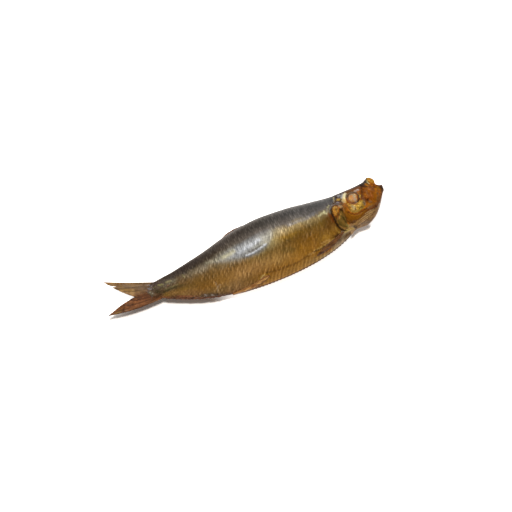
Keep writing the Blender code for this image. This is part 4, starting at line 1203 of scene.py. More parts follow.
cover_plate_pieces = shell_object("gill_cover_plates", cover_plates, smoked_bone(
    "smoked_gill_cover", "#5a3f12", "#84602a", 5.0, Metallic=0.3, Roughness=0.34))
cover_strip_pieces = shell_object("gill_cover_strips", cover_strips, smoked_bone(
    "gilded_gill_rim", "#8a6224", "#d0aa58", 2.0, Metallic=0.4, Roughness=0.3))
for piece in (cover_lobe_pieces, cover_plate_pieces, cover_strip_pieces):
    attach(piece, "root")
    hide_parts("smoked_fish")

# Preopercles: the curved bone in front of each gill cover, lapped on it
PREOPERCLE = (
    (97.6, 9.6, 0.8), (97.2, 5.0, 1.8), (97.6, 0.0, 2.3), (100.0, -4.9, 2.7), (104.8, -6.6, 2.4),
    (110.0, -6.2, 2.0), (115.4, -4.2, 1.3), (119.6, -3.0, 0.5),
)
preopercles = new_shell()
for side in (1, -1):
    lay_band(preopercles, PREOPERCLE, side, 0.55, sink=0.2, crinkle=0.3, crease_size=4.0)
preopercle_pieces = shell_object("preopercles", preopercles, smoked_bone(
    "smoked_cheek_bone", "#5a3304", "#87530f", 5.0, rim_dark=0.6, Metallic=0.1, Roughness=0.3))
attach(preopercle_pieces, "root")
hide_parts("smoked_fish")

# Cheeks: a silvery layer gilded by the smoke and crinkled like foil, below and before the eye
CHEEK = (
    (100.6, 11.0), (102.6, 8.6), (105.6, 6.9), (108.6, 5.4), (112.2, 5.2), (114.4, 7.4), (116.8, 6.6),
    (118.9, 4.7), (117.8, 0.9), (114.9, -1.3), (110.2, -2.3), (106.3, -2.3), (102.9, -0.4), (101.3, 3.6),
)
cheeks = new_shell()
for side in (1, -1):
    lay_plate(cheeks, CHEEK, side, 0.7, rings=22, crinkle=0.42, crease_size=2.4)
cheek_pieces = shell_object("gilded_cheeks", cheeks, smoked_bone(
    "gilded_cheek_foil", "#8a5a16", "#dcb45c", 2.6, wrinkle=0.3, Metallic=0.5, Roughness=0.3))
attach(cheek_pieces, "root")
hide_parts("smoked_fish")

# Jaws: a broad orange plate on the side of the mouth, a brown strip of the lower jaw with a dark
# tip, and the golden lobes of the upper lip
MAXILLA = (
    (122.8, 18.8), (119.8, 13.1), (117.8, 7.9), (118.3, 3.8), (120.6, 1.0), (125.2, 0.4), (129.7, 1.8),
    (134.0, 6.0), (136.6, 9.9), (137.4, 13.1), (134.5, 16.3), (130.2, 17.8), (126.5, 19.0),
)
LOWER_JAW = (
    (141.6, 13.0, 0.8), (139.7, 9.6, 1.1), (135.4, 3.9, 1.3), (131.0, -0.6, 1.2), (126.2, -3.2, 0.9),
    (121.4, -3.6, 0.4),
)
JAW_TIP = (
    (140.2, 15.1), (140.9, 14.8), (141.4, 13.6), (141.3, 11.9), (140.6, 10.7), (139.9, 11.2), (139.8, 13.0),
)
maxillas, lower_jaws, jaw_tips, lip_lobes = new_shell(), new_shell(), new_shell(), new_shell()
for side in (1, -1):
    lay_plate(maxillas, MAXILLA, side, 0.45, rings=20, crinkle=0.45, crease_size=4.0)
    lay_band(lower_jaws, LOWER_JAW, side, 0.5, crinkle=0.3)
    lay_plate(jaw_tips, JAW_TIP, side, 0.4, fullness=3.0)
    lay_lobe(lip_lobes, (133.0, 22.4, MIDPLANE_HEIGHT + side * 2.2), (3.6, 5.2, 2.8), 29.0, lumps=0.3)
maxilla_pieces = shell_object("maxillas", maxillas, smoked_bone(
    "smoked_jaw_bone", "#683202", "#91560f", 5.0, wrinkle=0.3, rim_dark=0.7, Metallic=0.1, Roughness=0.28))
lower_jaw_pieces = shell_object("lower_jaws", lower_jaws, smoked_bone(
    "smoked_lower_jaw", "#4b2c14", "#835326", 2.5, Roughness=0.35))
jaw_tip_pieces = shell_object("jaw_tips", jaw_tips, smoked_bone(
    "dark_jaw_tip", "#23130a", "#4f3a2b", 1.5, Roughness=0.4))
lip_lobe_pieces = shell_object("lip_lobes", lip_lobes, smoked_bone(
    "golden_lip", "#875412", "#c0923a", 4.5, Metallic=0.25, Roughness=0.25))
for piece in (maxilla_pieces, lower_jaw_pieces, jaw_tip_pieces, lip_lobe_pieces):
    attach(piece, "root")
    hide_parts("smoked_fish")

# Fatty eyelids, nostrils and the flecks of silver skin left on the temple
EYELID = (
    (106.4, 20.6), (106.3, 18.2), (104.2, 15.7), (103.4, 13.2), (102.8, 11.0), (100.6, 11.7), (99.6, 14.3),
    (99.8, 17.0), (102.0, 19.5), (104.5, 20.8),
)
NOSTRIL = ((115.0, 17.6), (116.6, 19.0), (118.8, 19.4), (120.2, 18.8), (119.1, 17.2), (116.8, 17.0))
GOLD_FLECKS = (
    ((95.6, 15.8), (96.4, 17.3), (98.2, 17.2), (98.2, 15.6), (96.8, 14.8)),
    ((115.9, 11.2), (116.3, 12.8), (117.6, 12.8), (117.6, 11.2), (116.3, 10.2)),
    ((117.0, 15.2), (117.6, 15.9), (118.4, 15.2), (117.9, 14.2)),
)
PALE_FLECKS = (
    (96.8, 20.0, 0.3), (98.8, 20.3, 0.8), (100.6, 19.8, 0.3),
    (91.6, 14.4, 0.3), (92.0, 16.8, 0.5), (93.6, 19.8, 0.3),
    (93.4, 14.2, 0.3), (95.0, 13.2, 0.6), (96.4, 12.0, 0.3),
    (84.6, 9.2, 0.3), (86.4, 11.4, 0.6), (89.0, 13.0, 0.3),
)
eyelids, nostrils, gold_flecks, pale_flecks = new_shell(), new_shell(), new_shell(), new_shell()
for side in (1, -1):
    lay_plate(eyelids, EYELID, side, 0.5, fullness=3.0, crinkle=0.15)
    lay_plate(nostrils, NOSTRIL, side, 0.6, fullness=2.0, rings=8)
    for fleck in GOLD_FLECKS:
        lay_plate(gold_flecks, fleck, side, 0.35, fullness=2.5, rings=7, crinkle=0.15, crease_size=1.0)
    for first in range(0, len(PALE_FLECKS), 3):
        lay_band(pale_flecks, PALE_FLECKS[first : first + 3], side, 0.3)
eyelid_pieces = shell_object("fatty_eyelids", eyelids, smoked_bone(
    "dried_eyelid_fat", "#ad9058", "#e6d29a", 3.0, rim_dark=0.7, Roughness=0.35))
nostril_pieces = shell_object("nostrils", nostrils, smoked_bone(
    "pale_nostril_skin", "#8a5c42", "#cdb6a2", 2.2, Roughness=0.3, Coat_Weight=0.2))
gold_fleck_pieces = shell_object("gold_flecks", gold_flecks, smoked_bone(
    "gilded_skin_fleck", "#9a7230", "#dcb866", 1.6, Metallic=0.4, Roughness=0.3))
pale_fleck_pieces = shell_object("pale_flecks", pale_flecks, smoked_bone(
    "silver_skin_fleck", "#6a615c", "#a39d9a", 1.6, Metallic=0.3, Roughness=0.3))
for piece in (eyelid_pieces, nostril_pieces, gold_fleck_pieces, pale_fleck_pieces):
    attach(piece, "root")
    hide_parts("smoked_fish")

# ---------------------------------------------------------------------------------------------
# Eyes: each eyeball has turned opaque and tan in the smoke, shrunk a little in its socket, and
# the dark rim of skin has dried round it.
# ---------------------------------------------------------------------------------------------

EYE_LOOK_RADIUS = 5.1
EYE_RIM_RADIUS = 5.75
EYE_CORNERS = 16


def eye_circle(radius, *more):
    """Corners of a circle round the eye's centre, each with the numbers in `more` after x and y."""
    turns = [2 * math.pi * k / EYE_CORNERS for k in range(EYE_CORNERS)]
    return [
        (EYE_CENTRE[0] + radius * math.cos(t), EYE_CENTRE[1] + radius * math.sin(t), *more) for t in turns
    ]


eyeballs, eye_rims = new_shell(), new_shell()
for side in (1, -1):
    lay_plate(eyeballs, eye_circle(EYE_LOOK_RADIUS), side, 1.45, sink=0.5, fullness=2.4, rings=24,
              crinkle=0.12, crease_size=2.5)
    lay_band(eye_rims, eye_circle(EYE_RIM_RADIUS, 0.62), side, 0.75, closed=True, steps=8, crinkle=0.25)

smoked_eye, tree, shader = new_material(
    "smoked_opaque_eye", Roughness=0.3, IOR=1.4, Specular_IOR_Level=0.2, Coat_Weight=0.15,
    Coat_Roughness=0.15,
)
place = add(tree, "TexCoord", out="Object")
rim = add(tree, "Attribute", out="Fac", attribute_name="rim")
mottle = add(tree, "TexNoise", place, fill={"Scale": 1 / (4.5 * MM), "Detail": 2.0})
fine = add(tree, "TexNoise", place, fill={"Scale": 1 / (1.2 * MM), "Detail": 4.0})
share = add(tree, "MapRange", mottle, 0.40, 0.60)
colour = add(tree, "Mix", share, out=2, data_type="RGBA",
             fill={6: linear("#b0742e"), 7: linear("#97805c")})
share = add(tree, "MapRange", fine, 0.5, 0.7, 0.0, 0.6)
colour = add(tree, "Mix", share, out=2, data_type="RGBA", fill={6: colour, 7: linear("#cdaa74")})
share = add(tree, "MapRange", rim, 0.72, 0.98, interpolation_type="SMOOTHSTEP")
colour = add(tree, "Mix", share, out=2, data_type="RGBA", fill={6: colour, 7: linear("#5d3a1c")})
tree.links.new(marks_laid_over(tree, colour), shader.inputs["Base Color"])
bump = add(tree, "Bump", fill={"Height": fine, "Distance": 0.1 * MM})
tree.links.new(bump, shader.inputs["Normal"])
eye_pieces = shell_object("eyeballs", eyeballs, smoked_eye)
eye_rim_pieces = shell_object("eye_rims", eye_rims, smoked_bone(
    "dried_eye_rim", "#2b1f16", "#6d5b4c", 2.5, rim_dark=0.8, Roughness=0.3, Coat_Weight=0.15))
for piece in (eye_pieces, eye_rim_pieces):
    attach(piece, "root")
    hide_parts("smoked_fish")

# ---------------------------------------------------------------------------------------------
# Fins: thin skin between horny rays. The tail fin is forked and half folded; the other fins have
# dried flat against the body. A ray is a tapered rod that runs in from the body.
# ---------------------------------------------------------------------------------------------

TAIL_ROOT_TOP = (-91.0, 12.4)
TAIL_ROOT_MIDDLE = (-97.0, 4.9)
TAIL_ROOT_BOTTOM = (-90.3, -4.8)
UPPER_TIP = (-135.3, 31.2)
FORK = (-113.2, 6.7)
LOWER_TIP = (-142.7, -0.2)
UPPER_RAY_BOW = -0.4
LOWER_RAY_BOW = -1.9
UPPER_MARGIN_BULGE = 1.2
LOWER_MARGIN_BULGE = 1.1
TAIL_TWIST = 1.2
TAIL_ROOT_THICKNESS = 2.0
TAIL_ROOT_FLESH = 2.2  # thins out soon
TAIL_EDGE_THICKNESS = 0.45
TAIL_PLEAT_DEPTH = 0.12
TAIL_RIPPLE = 0.35
TAIL_FRAY = 0.05  # as a share of the fin's length
TAIL_ACROSS = 141  # points across the spread fin
TAIL_STATIONS = 60
TAIL_RAYS = 22
UPPER_SLIT = (0.13, 0.012, 0.13)  # where the upper lobe is split, how wide and how deep


def plane_point(place):
    """A point of the fish's plane as a vector."""
    return Vector((place[0], place[1], MIDPLANE_HEIGHT))


def tail_point(s, t):
    """A point midway through the tail fin, `s` across it from top to bottom and `t` outwards."""
    fork = plane_point(FORK)
    if s < 0.5:
        root, far_root = plane_point(TAIL_ROOT_TOP), plane_point(TAIL_ROOT_MIDDLE)
        tip, bow, bulge = plane_point(UPPER_TIP), UPPER_RAY_BOW, UPPER_MARGIN_BULGE
        share = 2 * s
    else:
        root, far_root = plane_point(TAIL_ROOT_BOTTOM), plane_point(TAIL_ROOT_MIDDLE)
        tip, bow, bulge = plane_point(LOWER_TIP), LOWER_RAY_BOW, LOWER_MARGIN_BULGE
        share = 2 - 2 * s
    margin = fork - tip
    outwards = Vector((-abs(margin.y), math.copysign(margin.x, margin.y), 0.0)).normalized()
    end = tip.lerp(fork, share) + outwards * bulge * math.sin(math.pi * share)
    point = root.lerp(far_root, share).lerp(end, t)
    point.y += bow * (1 - share) * math.sin(math.pi * t)
    point.z += TAIL_TWIST * (1 - 2 * s) * t
    return point


def tail_reach(s):
    """How far out the fin still has skin: frayed along the margin and split in the upper lobe."""
    fray = TAIL_FRAY * max(noise.noise(Vector((s * 34.0, 0.3, 1.7))), 0.0)
    fray += 0.02 * math.sin(s * 150.0) ** 2
    fray *= math.sin(math.pi * min(abs(1 - 2 * s), 1.0)) ** 0.5
    split = UPPER_SLIT[2] * math.exp(-(((s - UPPER_SLIT[0]) / UPPER_SLIT[1]) ** 2))
    return 1.0 - fray - split


def rim_of(rows):
    """The outer points of a grid of rows, in order round it."""
    side_out = [row[-1] for row in rows[1:-1]]
    side_back = [row[0] for row in rows[-2:0:-1]]
    return rows[0] + side_out + rows[-1][::-1] + side_back


def tail_surface(s, t, face_side):
    """A point on the fin's right (1) or left (-1) face, pleated from ray to ray."""
    thickness = TAIL_ROOT_THICKNESS + (TAIL_EDGE_THICKNESS - TAIL_ROOT_THICKNESS) * min(t * 1.6, 1.0)
    thickness += TAIL_ROOT_FLESH * math.exp(-((t / 0.1) ** 2))
    edge = 0.35 + 0.65 * math.sin(math.pi * s) ** 0.5
    pleat = TAIL_PLEAT_DEPTH * math.cos(2 * math.pi * TAIL_RAYS * s) * (1 - t)
    pleat += 0.10 * math.sin(31 * s + 9 * t)
    spot = tail_point(s, t)
    ripple = TAIL_RIPPLE * noise.noise(spot / 6.0)
    spot.z += face_side * thickness * edge / 2 + pleat + ripple
    return spot


tail_skin = new_shell()
tail_faces = {1: [], -1: []}
for k in range(TAIL_STATIONS):
    for face_side, rows in tail_faces.items():
        grid_row = []
        for i in range(TAIL_ACROSS):
            s = i / (TAIL_ACROSS - 1)
            t = k / (TAIL_STATIONS - 1) * tail_reach(s)
            grid_row.append(lay_point(tail_skin, tail_surface(s, t, face_side), s, t))
        rows.append(grid_row)
for rows in tail_faces.values():
    for here, there in zip(rows, rows[1:]):
        for k in range(TAIL_ACROSS - 1):
            tail_skin["faces"].append((here[k], here[k + 1], there[k + 1], there[k]))
right_rim, left_rim = rim_of(tail_faces[1]), rim_of(tail_faces[-1])
for k in range(len(right_rim)):
    tail_skin["faces"].append((right_rim[k - 1], right_rim[k], left_rim[k], left_rim[k - 1]))

# Dried fin skin: thin, tan and a little translucent, redder and darker in the lower lobe.
fin_skin, tree, shader = new_material("dried_fin_skin", Roughness=0.42, IOR=1.45, Specular_IOR_Level=0.2)
place = add(tree, "TexCoord", out="Object")
across = add(tree, "Attribute", out="Fac", attribute_name="rim")
outward = add(tree, "Attribute", out="Fac", attribute_name="run")
mottle = add(tree, "TexNoise", place, fill={"Scale": 1 / (3.5 * MM), "Detail": 4.0})
blotch = add(tree, "MapRange", mottle, 0.34, 0.66)
upper = add(tree, "Mix", blotch, out=2, data_type="RGBA",
            fill={6: linear("#62472c"), 7: linear("#8f7048")})
lower = add(tree, "Mix", blotch, out=2, data_type="RGBA",
            fill={6: linear("#41240f"), 7: linear("#84532f")})
share = add(tree, "MapRange", across, 0.40, 0.56, interpolation_type="SMOOTHSTEP")
colour = add(tree, "Mix", share, out=2, data_type="RGBA", fill={6: upper, 7: lower})
# Streaks that run out along the rays
between = add(tree, "Math", across, 24.0, operation="MULTIPLY")
along = add(tree, "Math", outward, 2.0, operation="MULTIPLY")
streak = add(tree, "TexNoise", add(tree, "CombineXYZ", between, along, mottle),
             fill={"Scale": 1.0, "Detail": 2.0})
streak = add(tree, "MapRange", streak, 0.36, 0.64, 0.55, 1.25)
share = add(tree, "MapRange", across, 0.05, 0.0)
share = add(tree, "Math", share, outward, operation="MULTIPLY")
colour = add(tree, "Mix", share, out=2, data_type="RGBA", fill={6: colour, 7: linear("#8a5d1c")})
share = add(tree, "MapRange", across, 0.93, 1.0, 0.0, 0.8)
colour = add(tree, "Mix", share, out=2, data_type="RGBA", fill={6: colour, 7: linear("#2b1810")})
colour = add(tree, "VectorMath", marks_laid_over(tree, colour), fill={"Scale": streak}, operation="SCALE")
tree.links.new(colour, shader.inputs["Base Color"])
bump = add(tree, "Bump", fill={"Height": mottle, "Distance": 0.2 * MM})
tree.links.new(bump, shader.inputs["Normal"])
tail_fin = shell_object("tail_fin", tail_skin, fin_skin)

# The trunk's colours run out over the root of the fin
tail_places = np.array([tuple(point) for point in tail_skin["points"]])
_, stain_and_painted_light, stain_and_painted_light_share = skin_marks(tail_places[:, 0], tail_places[:, 1])
root_share = 0.85 * smooth_step(tail_places[:, 0], -112.0, -98.0)
root_colour = band_colours(tail_places[:, 0], tail_places[:, 1])
set_attribute(tail_fin.data, "stain_and_painted_light", stain_and_painted_light + root_colour * (root_share * (1 - stain_and_painted_light_share))[:, None])
set_attribute(tail_fin.data, "stain_and_painted_light_share", 1 - (1 - root_share) * (1 - stain_and_painted_light_share))

# Rays of the tail fin: horny rods, widest at the root, that lie half sunk in both of its faces
rays_tree, sizes, result = new_geometry_tree("tapered_rays", Radius=1)
line = add(rays_tree, "GeometryNodeMeshToCurve", sizes["Mesh"])
taper = add(rays_tree, "GeometryNodeInputNamedAttribute", "taper", data_type="FLOAT")
thickness = add(rays_tree, "Math", taper, sizes["Radius"], operation="MULTIPLY")
section = add(rays_tree, "GeometryNodeCurvePrimitiveCircle", 6, fill={"Radius": 1.0})
rods = add(rays_tree, "GeometryNodeCurveToMesh", line, section, thickness, True)
rods = add(rays_tree, "GeometryNodeRealizeInstances", rods)
rods = add(rays_tree, "GeometryNodeSetMaterial", rods, fill={"Material": sizes["Material"]})
rays_tree.links.new(rods, result["Mesh"])


def line_object(name, lines):
    """An object of plain lines; each point is a place, its taper and the fin's lobe it is in."""
    mesh = bpy.data.meshes.new(name)
    points = [point for line in lines for point in line]
    edges = []
    first = 0
    for line in lines:
        edges += [(first + k, first + k + 1) for k in range(len(line) - 1)]
        first += len(line)
    mesh.from_pydata([place * MM for place, _, _ in points], edges, [])
    set_attribute(mesh, "taper", [taper for _, taper, _ in points])
    set_attribute(mesh, "rim", [lobe for _, _, lobe in points])
    return placed(name, mesh)


def ray_horn(name, upper, lower):
    """Smoked horn of the fin rays, one tint in the upper lobe and one in the lower."""
    made, tree, shader = new_material(name, Roughness=0.38, IOR=1.5, Specular_IOR_Level=0.25)
    place = add(tree, "TexCoord", out="Object")
    lobe = add(tree, "Attribute", out="Fac", attribute_name="rim")
    joints = add(tree, "TexNoise", place, fill={"Scale": 1 / (1.6 * MM), "Detail": 2.0})
    shade = add(tree, "MapRange", joints, 0.35, 0.65, 0.7, 1.25)
    share = add(tree, "MapRange", lobe, 0.42, 0.56)
    colour = add(tree, "Mix", share, out=2, data_type="RGBA", fill={6: linear(upper), 7: linear(lower)})
    colour = add(tree, "VectorMath", colour, fill={"Scale": shade}, operation="SCALE")
    tree.links.new(colour, shader.inputs["Base Color"])
    bump = add(tree, "Bump", fill={"Height": joints, "Distance": 0.1 * MM})
    tree.links.new(bump, shader.inputs["Normal"])
    return made


RAY_STEPS = 16
RAY_START = 0.06  # as a share of the fin's length
RAY_TAPER = 0.8
tail_ray_lines = []
for face_side in (1, -1):
    for i in range(TAIL_RAYS):
        s = (i + 0.5) / TAIL_RAYS
        run = 0.97 * tail_reach(s) - RAY_START
        points = []
        for k in range(RAY_STEPS + 1):
            place = tail_surface(s, RAY_START + run * k / RAY_STEPS, face_side)
            points.append((place, 1 - RAY_TAPER * k / RAY_STEPS, s))
        tail_ray_lines.append(points)
tail_rays = line_object("tail_fin_rays", tail_ray_lines)
grow(tail_rays, rays_tree, Radius=0.30 * MM, Material=ray_horn("tail_ray_horn", "#6b4f30", "#59331c"))
tail_rays.data.shade_smooth()

# Folded fins, from base to tip: x, y and half width
DORSAL_FIN = (
    (11.0, 29.6, 0.5), (5.0, 29.6, 1.4), (-3.0, 28.9, 1.9), (-11.0, 27.6, 1.9), (-17.0, 25.9, 1.3),
    (-22.0, 24.2, 0.4),
)
ANAL_FIN = (
    (-28.0, -25.3, 0.4), (-33.0, -24.3, 1.5), (-43.0, -21.7, 2.1), (-57.5, -17.5, 1.95),
    (-72.0, -12.1, 1.35), (-87.0, -6.0, 0.4),
)
PELVIC_FIN = (
    (9.0, -25.2, 0.5), (5.5, -25.7, 1.6), (1.0, -26.6, 1.9), (-7.3, -27.8, 1.7), (-17.2, -27.7, 1.3),
    (-24.0, -27.1, 0.8), (-28.5, -26.6, 0.3),
)
PECTORAL_FIN = (
    (88.5, -13.8, 0.6), (84.0, -16.0, 1.5), (77.8, -18.8, 2.1), (71.9, -20.7, 2.4), (64.6, -22.9, 1.9),
    (60.0, -24.0, 1.1), (57.0, -24.7, 0.3),
)
FIN_THICKNESS = 2.0
FIN_RING_POINTS = 44
FIN_PLEATS = 5
FIN_PLEAT_DEPTH = 0.16


def lay_midline_fin(shell, path, thickness, lumps):
    """Adds a slim pleated blade that stands on the fish's midline."""
    line = smooth_curve(path, closed=False, steps=14)
    widest = max(half_width for _, _, half_width in line)
    across = Vector((path[0][1] - path[-1][1], path[-1][0] - path[0][0], 0.0)).normalized()
    loops = []
    for k, (x, y, half_width) in enumerate(line):
        fullness = half_width / widest
        loop = []
        for i in range(FIN_RING_POINTS):
            angle = 2 * math.pi * i / FIN_RING_POINTS
            offset = math.cos(angle)
            pleat = FIN_PLEAT_DEPTH * math.cos(math.pi * FIN_PLEATS * offset)
            place = Vector((x, y, MIDPLANE_HEIGHT)) + across * offset * half_width
            place.z += math.sin(angle) * (thickness / 2 + pleat) * fullness
            wave = lumps * noise.noise(place / 2.2) * fullness
            loop.append(lay_point(shell, place + Vector((0.0, wave, wave)), abs(offset), k / len(line)))
        loops.append(loop)
    join_loops(shell, loops, capped=True)


def folded_skin(name, dark, light, edge):
    """A fin folded on itself, so its skin looks darker than where it is spread."""
    made, tree, shader = new_material(name, Roughness=0.36, IOR=1.45, Specular_IOR_Level=0.25)
    place = add(tree, "TexCoord", out="Object")
    rim = add(tree, "Attribute", out="Fac", attribute_name="rim")
    stretched = add(tree, "Mapping", place, fill={"Scale": (0.35, 1.6, 1.6)})
    streaks = add(tree, "TexNoise", stretched, fill={"Scale": 1 / (2.2 * MM), "Detail": 3.0})
    share = add(tree, "MapRange", streaks, 0.36, 0.64)
    colour = add(tree, "Mix", share, out=2, data_type="RGBA",
                 fill={6: linear(dark), 7: linear(light)})
    share = add(tree, "MapRange", rim, 0.4, 1.0, 0.0, 0.8)
    colour = add(tree, "Mix", share, out=2, data_type="RGBA", fill={6: colour, 7: linear(edge)})
    tree.links.new(colour, shader.inputs["Base Color"])
    bump = add(tree, "Bump", fill={"Height": streaks, "Distance": 0.3 * MM})
    tree.links.new(bump, shader.inputs["Normal"])
    return made


dorsal, anal, pelvic, pectoral = new_shell(), new_shell(), new_shell(), new_shell()
lay_midline_fin(dorsal, DORSAL_FIN, FIN_THICKNESS, 0.2)
lay_midline_fin(anal, ANAL_FIN, 1.3 * FIN_THICKNESS, 0.7)
for side in (1, -1):
    lay_band(pelvic, PELVIC_FIN, side, 0.9, crinkle=0.25, crease_size=3.0)
    lay_band(pectoral, PECTORAL_FIN, side, 0.9, crinkle=0.3, crease_size=3.0)
back_skin = folded_skin("folded_back_fin", "#3c2619", "#6e4c34", "#54382a")
anal_skin = folded_skin("folded_anal_fin", "#2e1b12", "#6c4630", "#4a2a1b")
pelvic_skin = folded_skin("folded_pelvic_fin", "#6a401c", "#a57c46", "#5e3418")
pectoral_skin = folded_skin("folded_pectoral_fin", "#36200f", "#64401f", "#4a2c18")
dorsal_fin = shell_object("dorsal_fin", dorsal, back_skin)
anal_fin = shell_object("anal_fin", anal, anal_skin)
pelvic_fins = shell_object("pelvic_fins", pelvic, pelvic_skin, marked=False)
pectoral_fins = shell_object("pectoral_fins", pectoral, pectoral_skin, marked=False)


def blade_lines(path, side, offsets, lift):
    """Lines along a folded blade on one flank, at shares of its half width from its middle."""
    line = smooth_curve(path, closed=False, steps=5)
    lines = []
    for offset in offsets:
        points = []
        for k, (x, y, half_width) in enumerate(line):
            before, after = line[max(k - 1, 0)], line[min(k + 1, len(line) - 1)]
            step_x, step_y = after[0] - before[0], after[1] - before[1]
            away = offset * half_width / math.hypot(step_x, step_y)
            found, normal = on_skin(x - step_y * away, y + step_x * away, side)
            share = k / (len(line) - 1)
            points.append((found + normal * lift * (1 - 0.5 * share), 0.3 + 0.7 * (1 - share), 1.0))
        lines.append(points)
    return lines


paired_ray_lines = []
for side in (1, -1):
    paired_ray_lines += blade_lines(PELVIC_FIN, side, (-0.6, -0.2, 0.25, 0.65), 0.72)
    paired_ray_lines += blade_lines(PECTORAL_FIN, side, (-0.7, -0.4, -0.1, 0.2, 0.5, 0.75), 0.72)
paired_rays = line_object("paired_fin_rays", paired_ray_lines)
grow(paired_rays, rays_tree, Radius=0.34 * MM, Material=ray_horn("paired_ray_horn", "#573619", "#573619"))
paired_rays.data.shade_smooth()
for piece in (tail_fin, tail_rays, dorsal_fin, anal_fin, pelvic_fins, pectoral_fins, paired_rays):
    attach(piece, "root")
    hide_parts("smoked_fish")

# ---------------------------------------------------------------------------------------------
# Throat rays: slim curved bones that spread the membrane under the jaw. They lie side by side
# under the throat's skin on both sides and show as low golden ridges.
# ---------------------------------------------------------------------------------------------

THROAT_RAYS = (
    ((128.0, -4.0), (122.0, -4.6), (115.5, -5.6), (109.0, -7.6), (103.0, -9.6)),
    ((127.0, -5.6), (121.0, -6.4), (114.5, -7.4), (108.0, -9.2), (101.5, -11.0)),
    ((125.0, -7.2), (119.5, -8.2), (113.5, -9.3), (107.0, -10.8), (100.0, -12.4)),
    ((122.0, -8.9), (117.0, -10.0), (111.5, -11.0), (105.0, -12.3), (98.0, -13.9)),
)
throat_ray_lines = []
for side in (1, -1):
    for path in THROAT_RAYS:
        line = smooth_curve(path, closed=False, steps=6)
        points = []
        for k, (x, y) in enumerate(line):
            found, normal = on_skin(x, y, side)
            points.append((found - normal * 0.24, 0.25 + math.sin(math.pi * k / (len(line) - 1)), 0.0))
        throat_ray_lines.append(points)
throat_rays = line_object("throat_rays", throat_ray_lines)
grow(throat_rays, rays_tree, Radius=0.36 * MM, Material=ray_horn("gilded_throat_ray", "#8a6a42", "#8a6a42"))
throat_rays.data.shade_smooth()
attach(throat_rays, "root")
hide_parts("smoked_fish")

# ---------------------------------------------------------------------------------------------
# Keel scutes: a row of small horny points along the belly's edge, each pointing to the tail and
# rooted under the scales on both sides.
# ---------------------------------------------------------------------------------------------

KEEL_FRONT = 190.0  # distances along the fish between which the scutes stand
KEEL_REAR = 74.0
KEEL_STEP = 2.0
keel_line = []
keel_distance = KEEL_FRONT
while keel_distance > KEEL_REAR:
    rib = rib_at(keel_distance)
    keel_line.append((Vector((rib[2], rib[3] + 0.25, MIDPLANE_HEIGHT)), 1.0, 1.0))
    keel_distance -= KEEL_STEP

scute_tree, sizes, result = new_geometry_tree("keel_scutes", Spacing=1, Width=1, Length=1)
line = add(scute_tree, "GeometryNodeMeshToCurve", sizes["Mesh"])
line = add(scute_tree, "GeometryNodeResampleCurve", line, fill={"Length": sizes["Spacing"]}, mode="LENGTH")
scute = add(scute_tree, "GeometryNodeMeshCone", 7, 2, 1, 0.06 * MM, sizes["Width"], sizes["Length"])
way = add(scute_tree, "GeometryNodeInputTangent")
turned = add(scute_tree, "FunctionNodeAlignRotationToVector", fill={"Vector": way}, axis="Z")
scutes = add(scute_tree, "GeometryNodeInstanceOnPoints", line, fill={"Instance": scute, "Rotation": turned})
scutes = add(scute_tree, "GeometryNodeRealizeInstances", scutes)
scutes = add(scute_tree, "GeometryNodeSetMaterial", scutes, fill={"Material": sizes["Material"]})
scute_tree.links.new(scutes, result["Mesh"])
scute_horn = smoked_bone("keel_scute_horn", "#6a4420", "#a2713a", 1.5, Roughness=0.35)
keel_scutes = line_object("keel_scutes", [keel_line])
SCUTE_SIZES = {"Spacing": 3.4 * MM, "Width": 0.7 * MM, "Length": 3.6 * MM}
grow(keel_scutes, scute_tree, Material=scute_horn, **SCUTE_SIZES)
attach(keel_scutes, "root")
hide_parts("smoked_fish")

# ---------------------------------------------------------------------------------------------
# Loose flakes: small pale bits of scale that came away as the fish dried and stuck to the skin
# again, where the trunk meets the tail fin and on the belly's edge before it.
# ---------------------------------------------------------------------------------------------

FLAKY_PLACES = (
    ((-101.0, 3.0), (-100.0, 11.5), (-93.5, 12.0), (-92.0, 5.0), (-94.0, -2.0), (-99.0, -2.5)),
    ((-58.0, -16.5), (-50.0, -18.8), (-42.0, -21.5), (-42.0, -25.0), (-58.0, -20.5)),
)
flaky = np.zeros(len(skin_x), dtype=bool)
for outline in FLAKY_PLACES:
    flaky |= inside_distance(skin_x, skin_y, list(outline)) > 0
flaky_faces = [face for face in skin_faces if len(face) == 4 and all(flaky[k] for k in face)]
used = sorted({k for face in flaky_faces for k in face})
number = {k: i for i, k in enumerate(used)}
flaky_mesh = bpy.data.meshes.new("loose_flakes")
flaky_points = [body_skin.data.vertices[k].co for k in used]
flaky_mesh.from_pydata(flaky_points, [], [tuple(number[k] for k in face) for face in flaky_faces])
loose_flakes = placed("loose_flakes", flaky_mesh)

flake_tree, sizes, result = new_geometry_tree("loose_flakes", Density=1, Radius=1, Thickness=1)
spots = flake_tree.nodes.new("GeometryNodeDistributePointsOnFaces")
flake_tree.links.new(sizes["Mesh"], spots.inputs["Mesh"])
flake_tree.links.new(sizes["Density"], spots.inputs["Density"])
spots.inputs["Seed"].default_value = 4
flake = add(flake_tree, "GeometryNodeMeshCylinder", 7, 1, 1, sizes["Radius"], sizes["Thickness"])
flake = add(flake_tree, "GeometryNodeTransform", flake, (0.0, 0.0, 0.1 * MM), (0.2, 0.1, 0.0))
shape = add(flake_tree, "FunctionNodeRandomValue", (0.5, 0.7, 1.0), (1.3, 1.6, 1.0), fill={"Seed": 7},
            data_type="FLOAT_VECTOR")
flakes = add(flake_tree, "GeometryNodeInstanceOnPoints", spots.outputs["Points"],
             fill={"Instance": flake, "Rotation": spots.outputs["Rotation"], "Scale": shape})
flakes = add(flake_tree, "GeometryNodeRealizeInstances", flakes)
flakes = add(flake_tree, "GeometryNodeSetMaterial", flakes, fill={"Material": sizes["Material"]})
flake_tree.links.new(flakes, result["Mesh"])
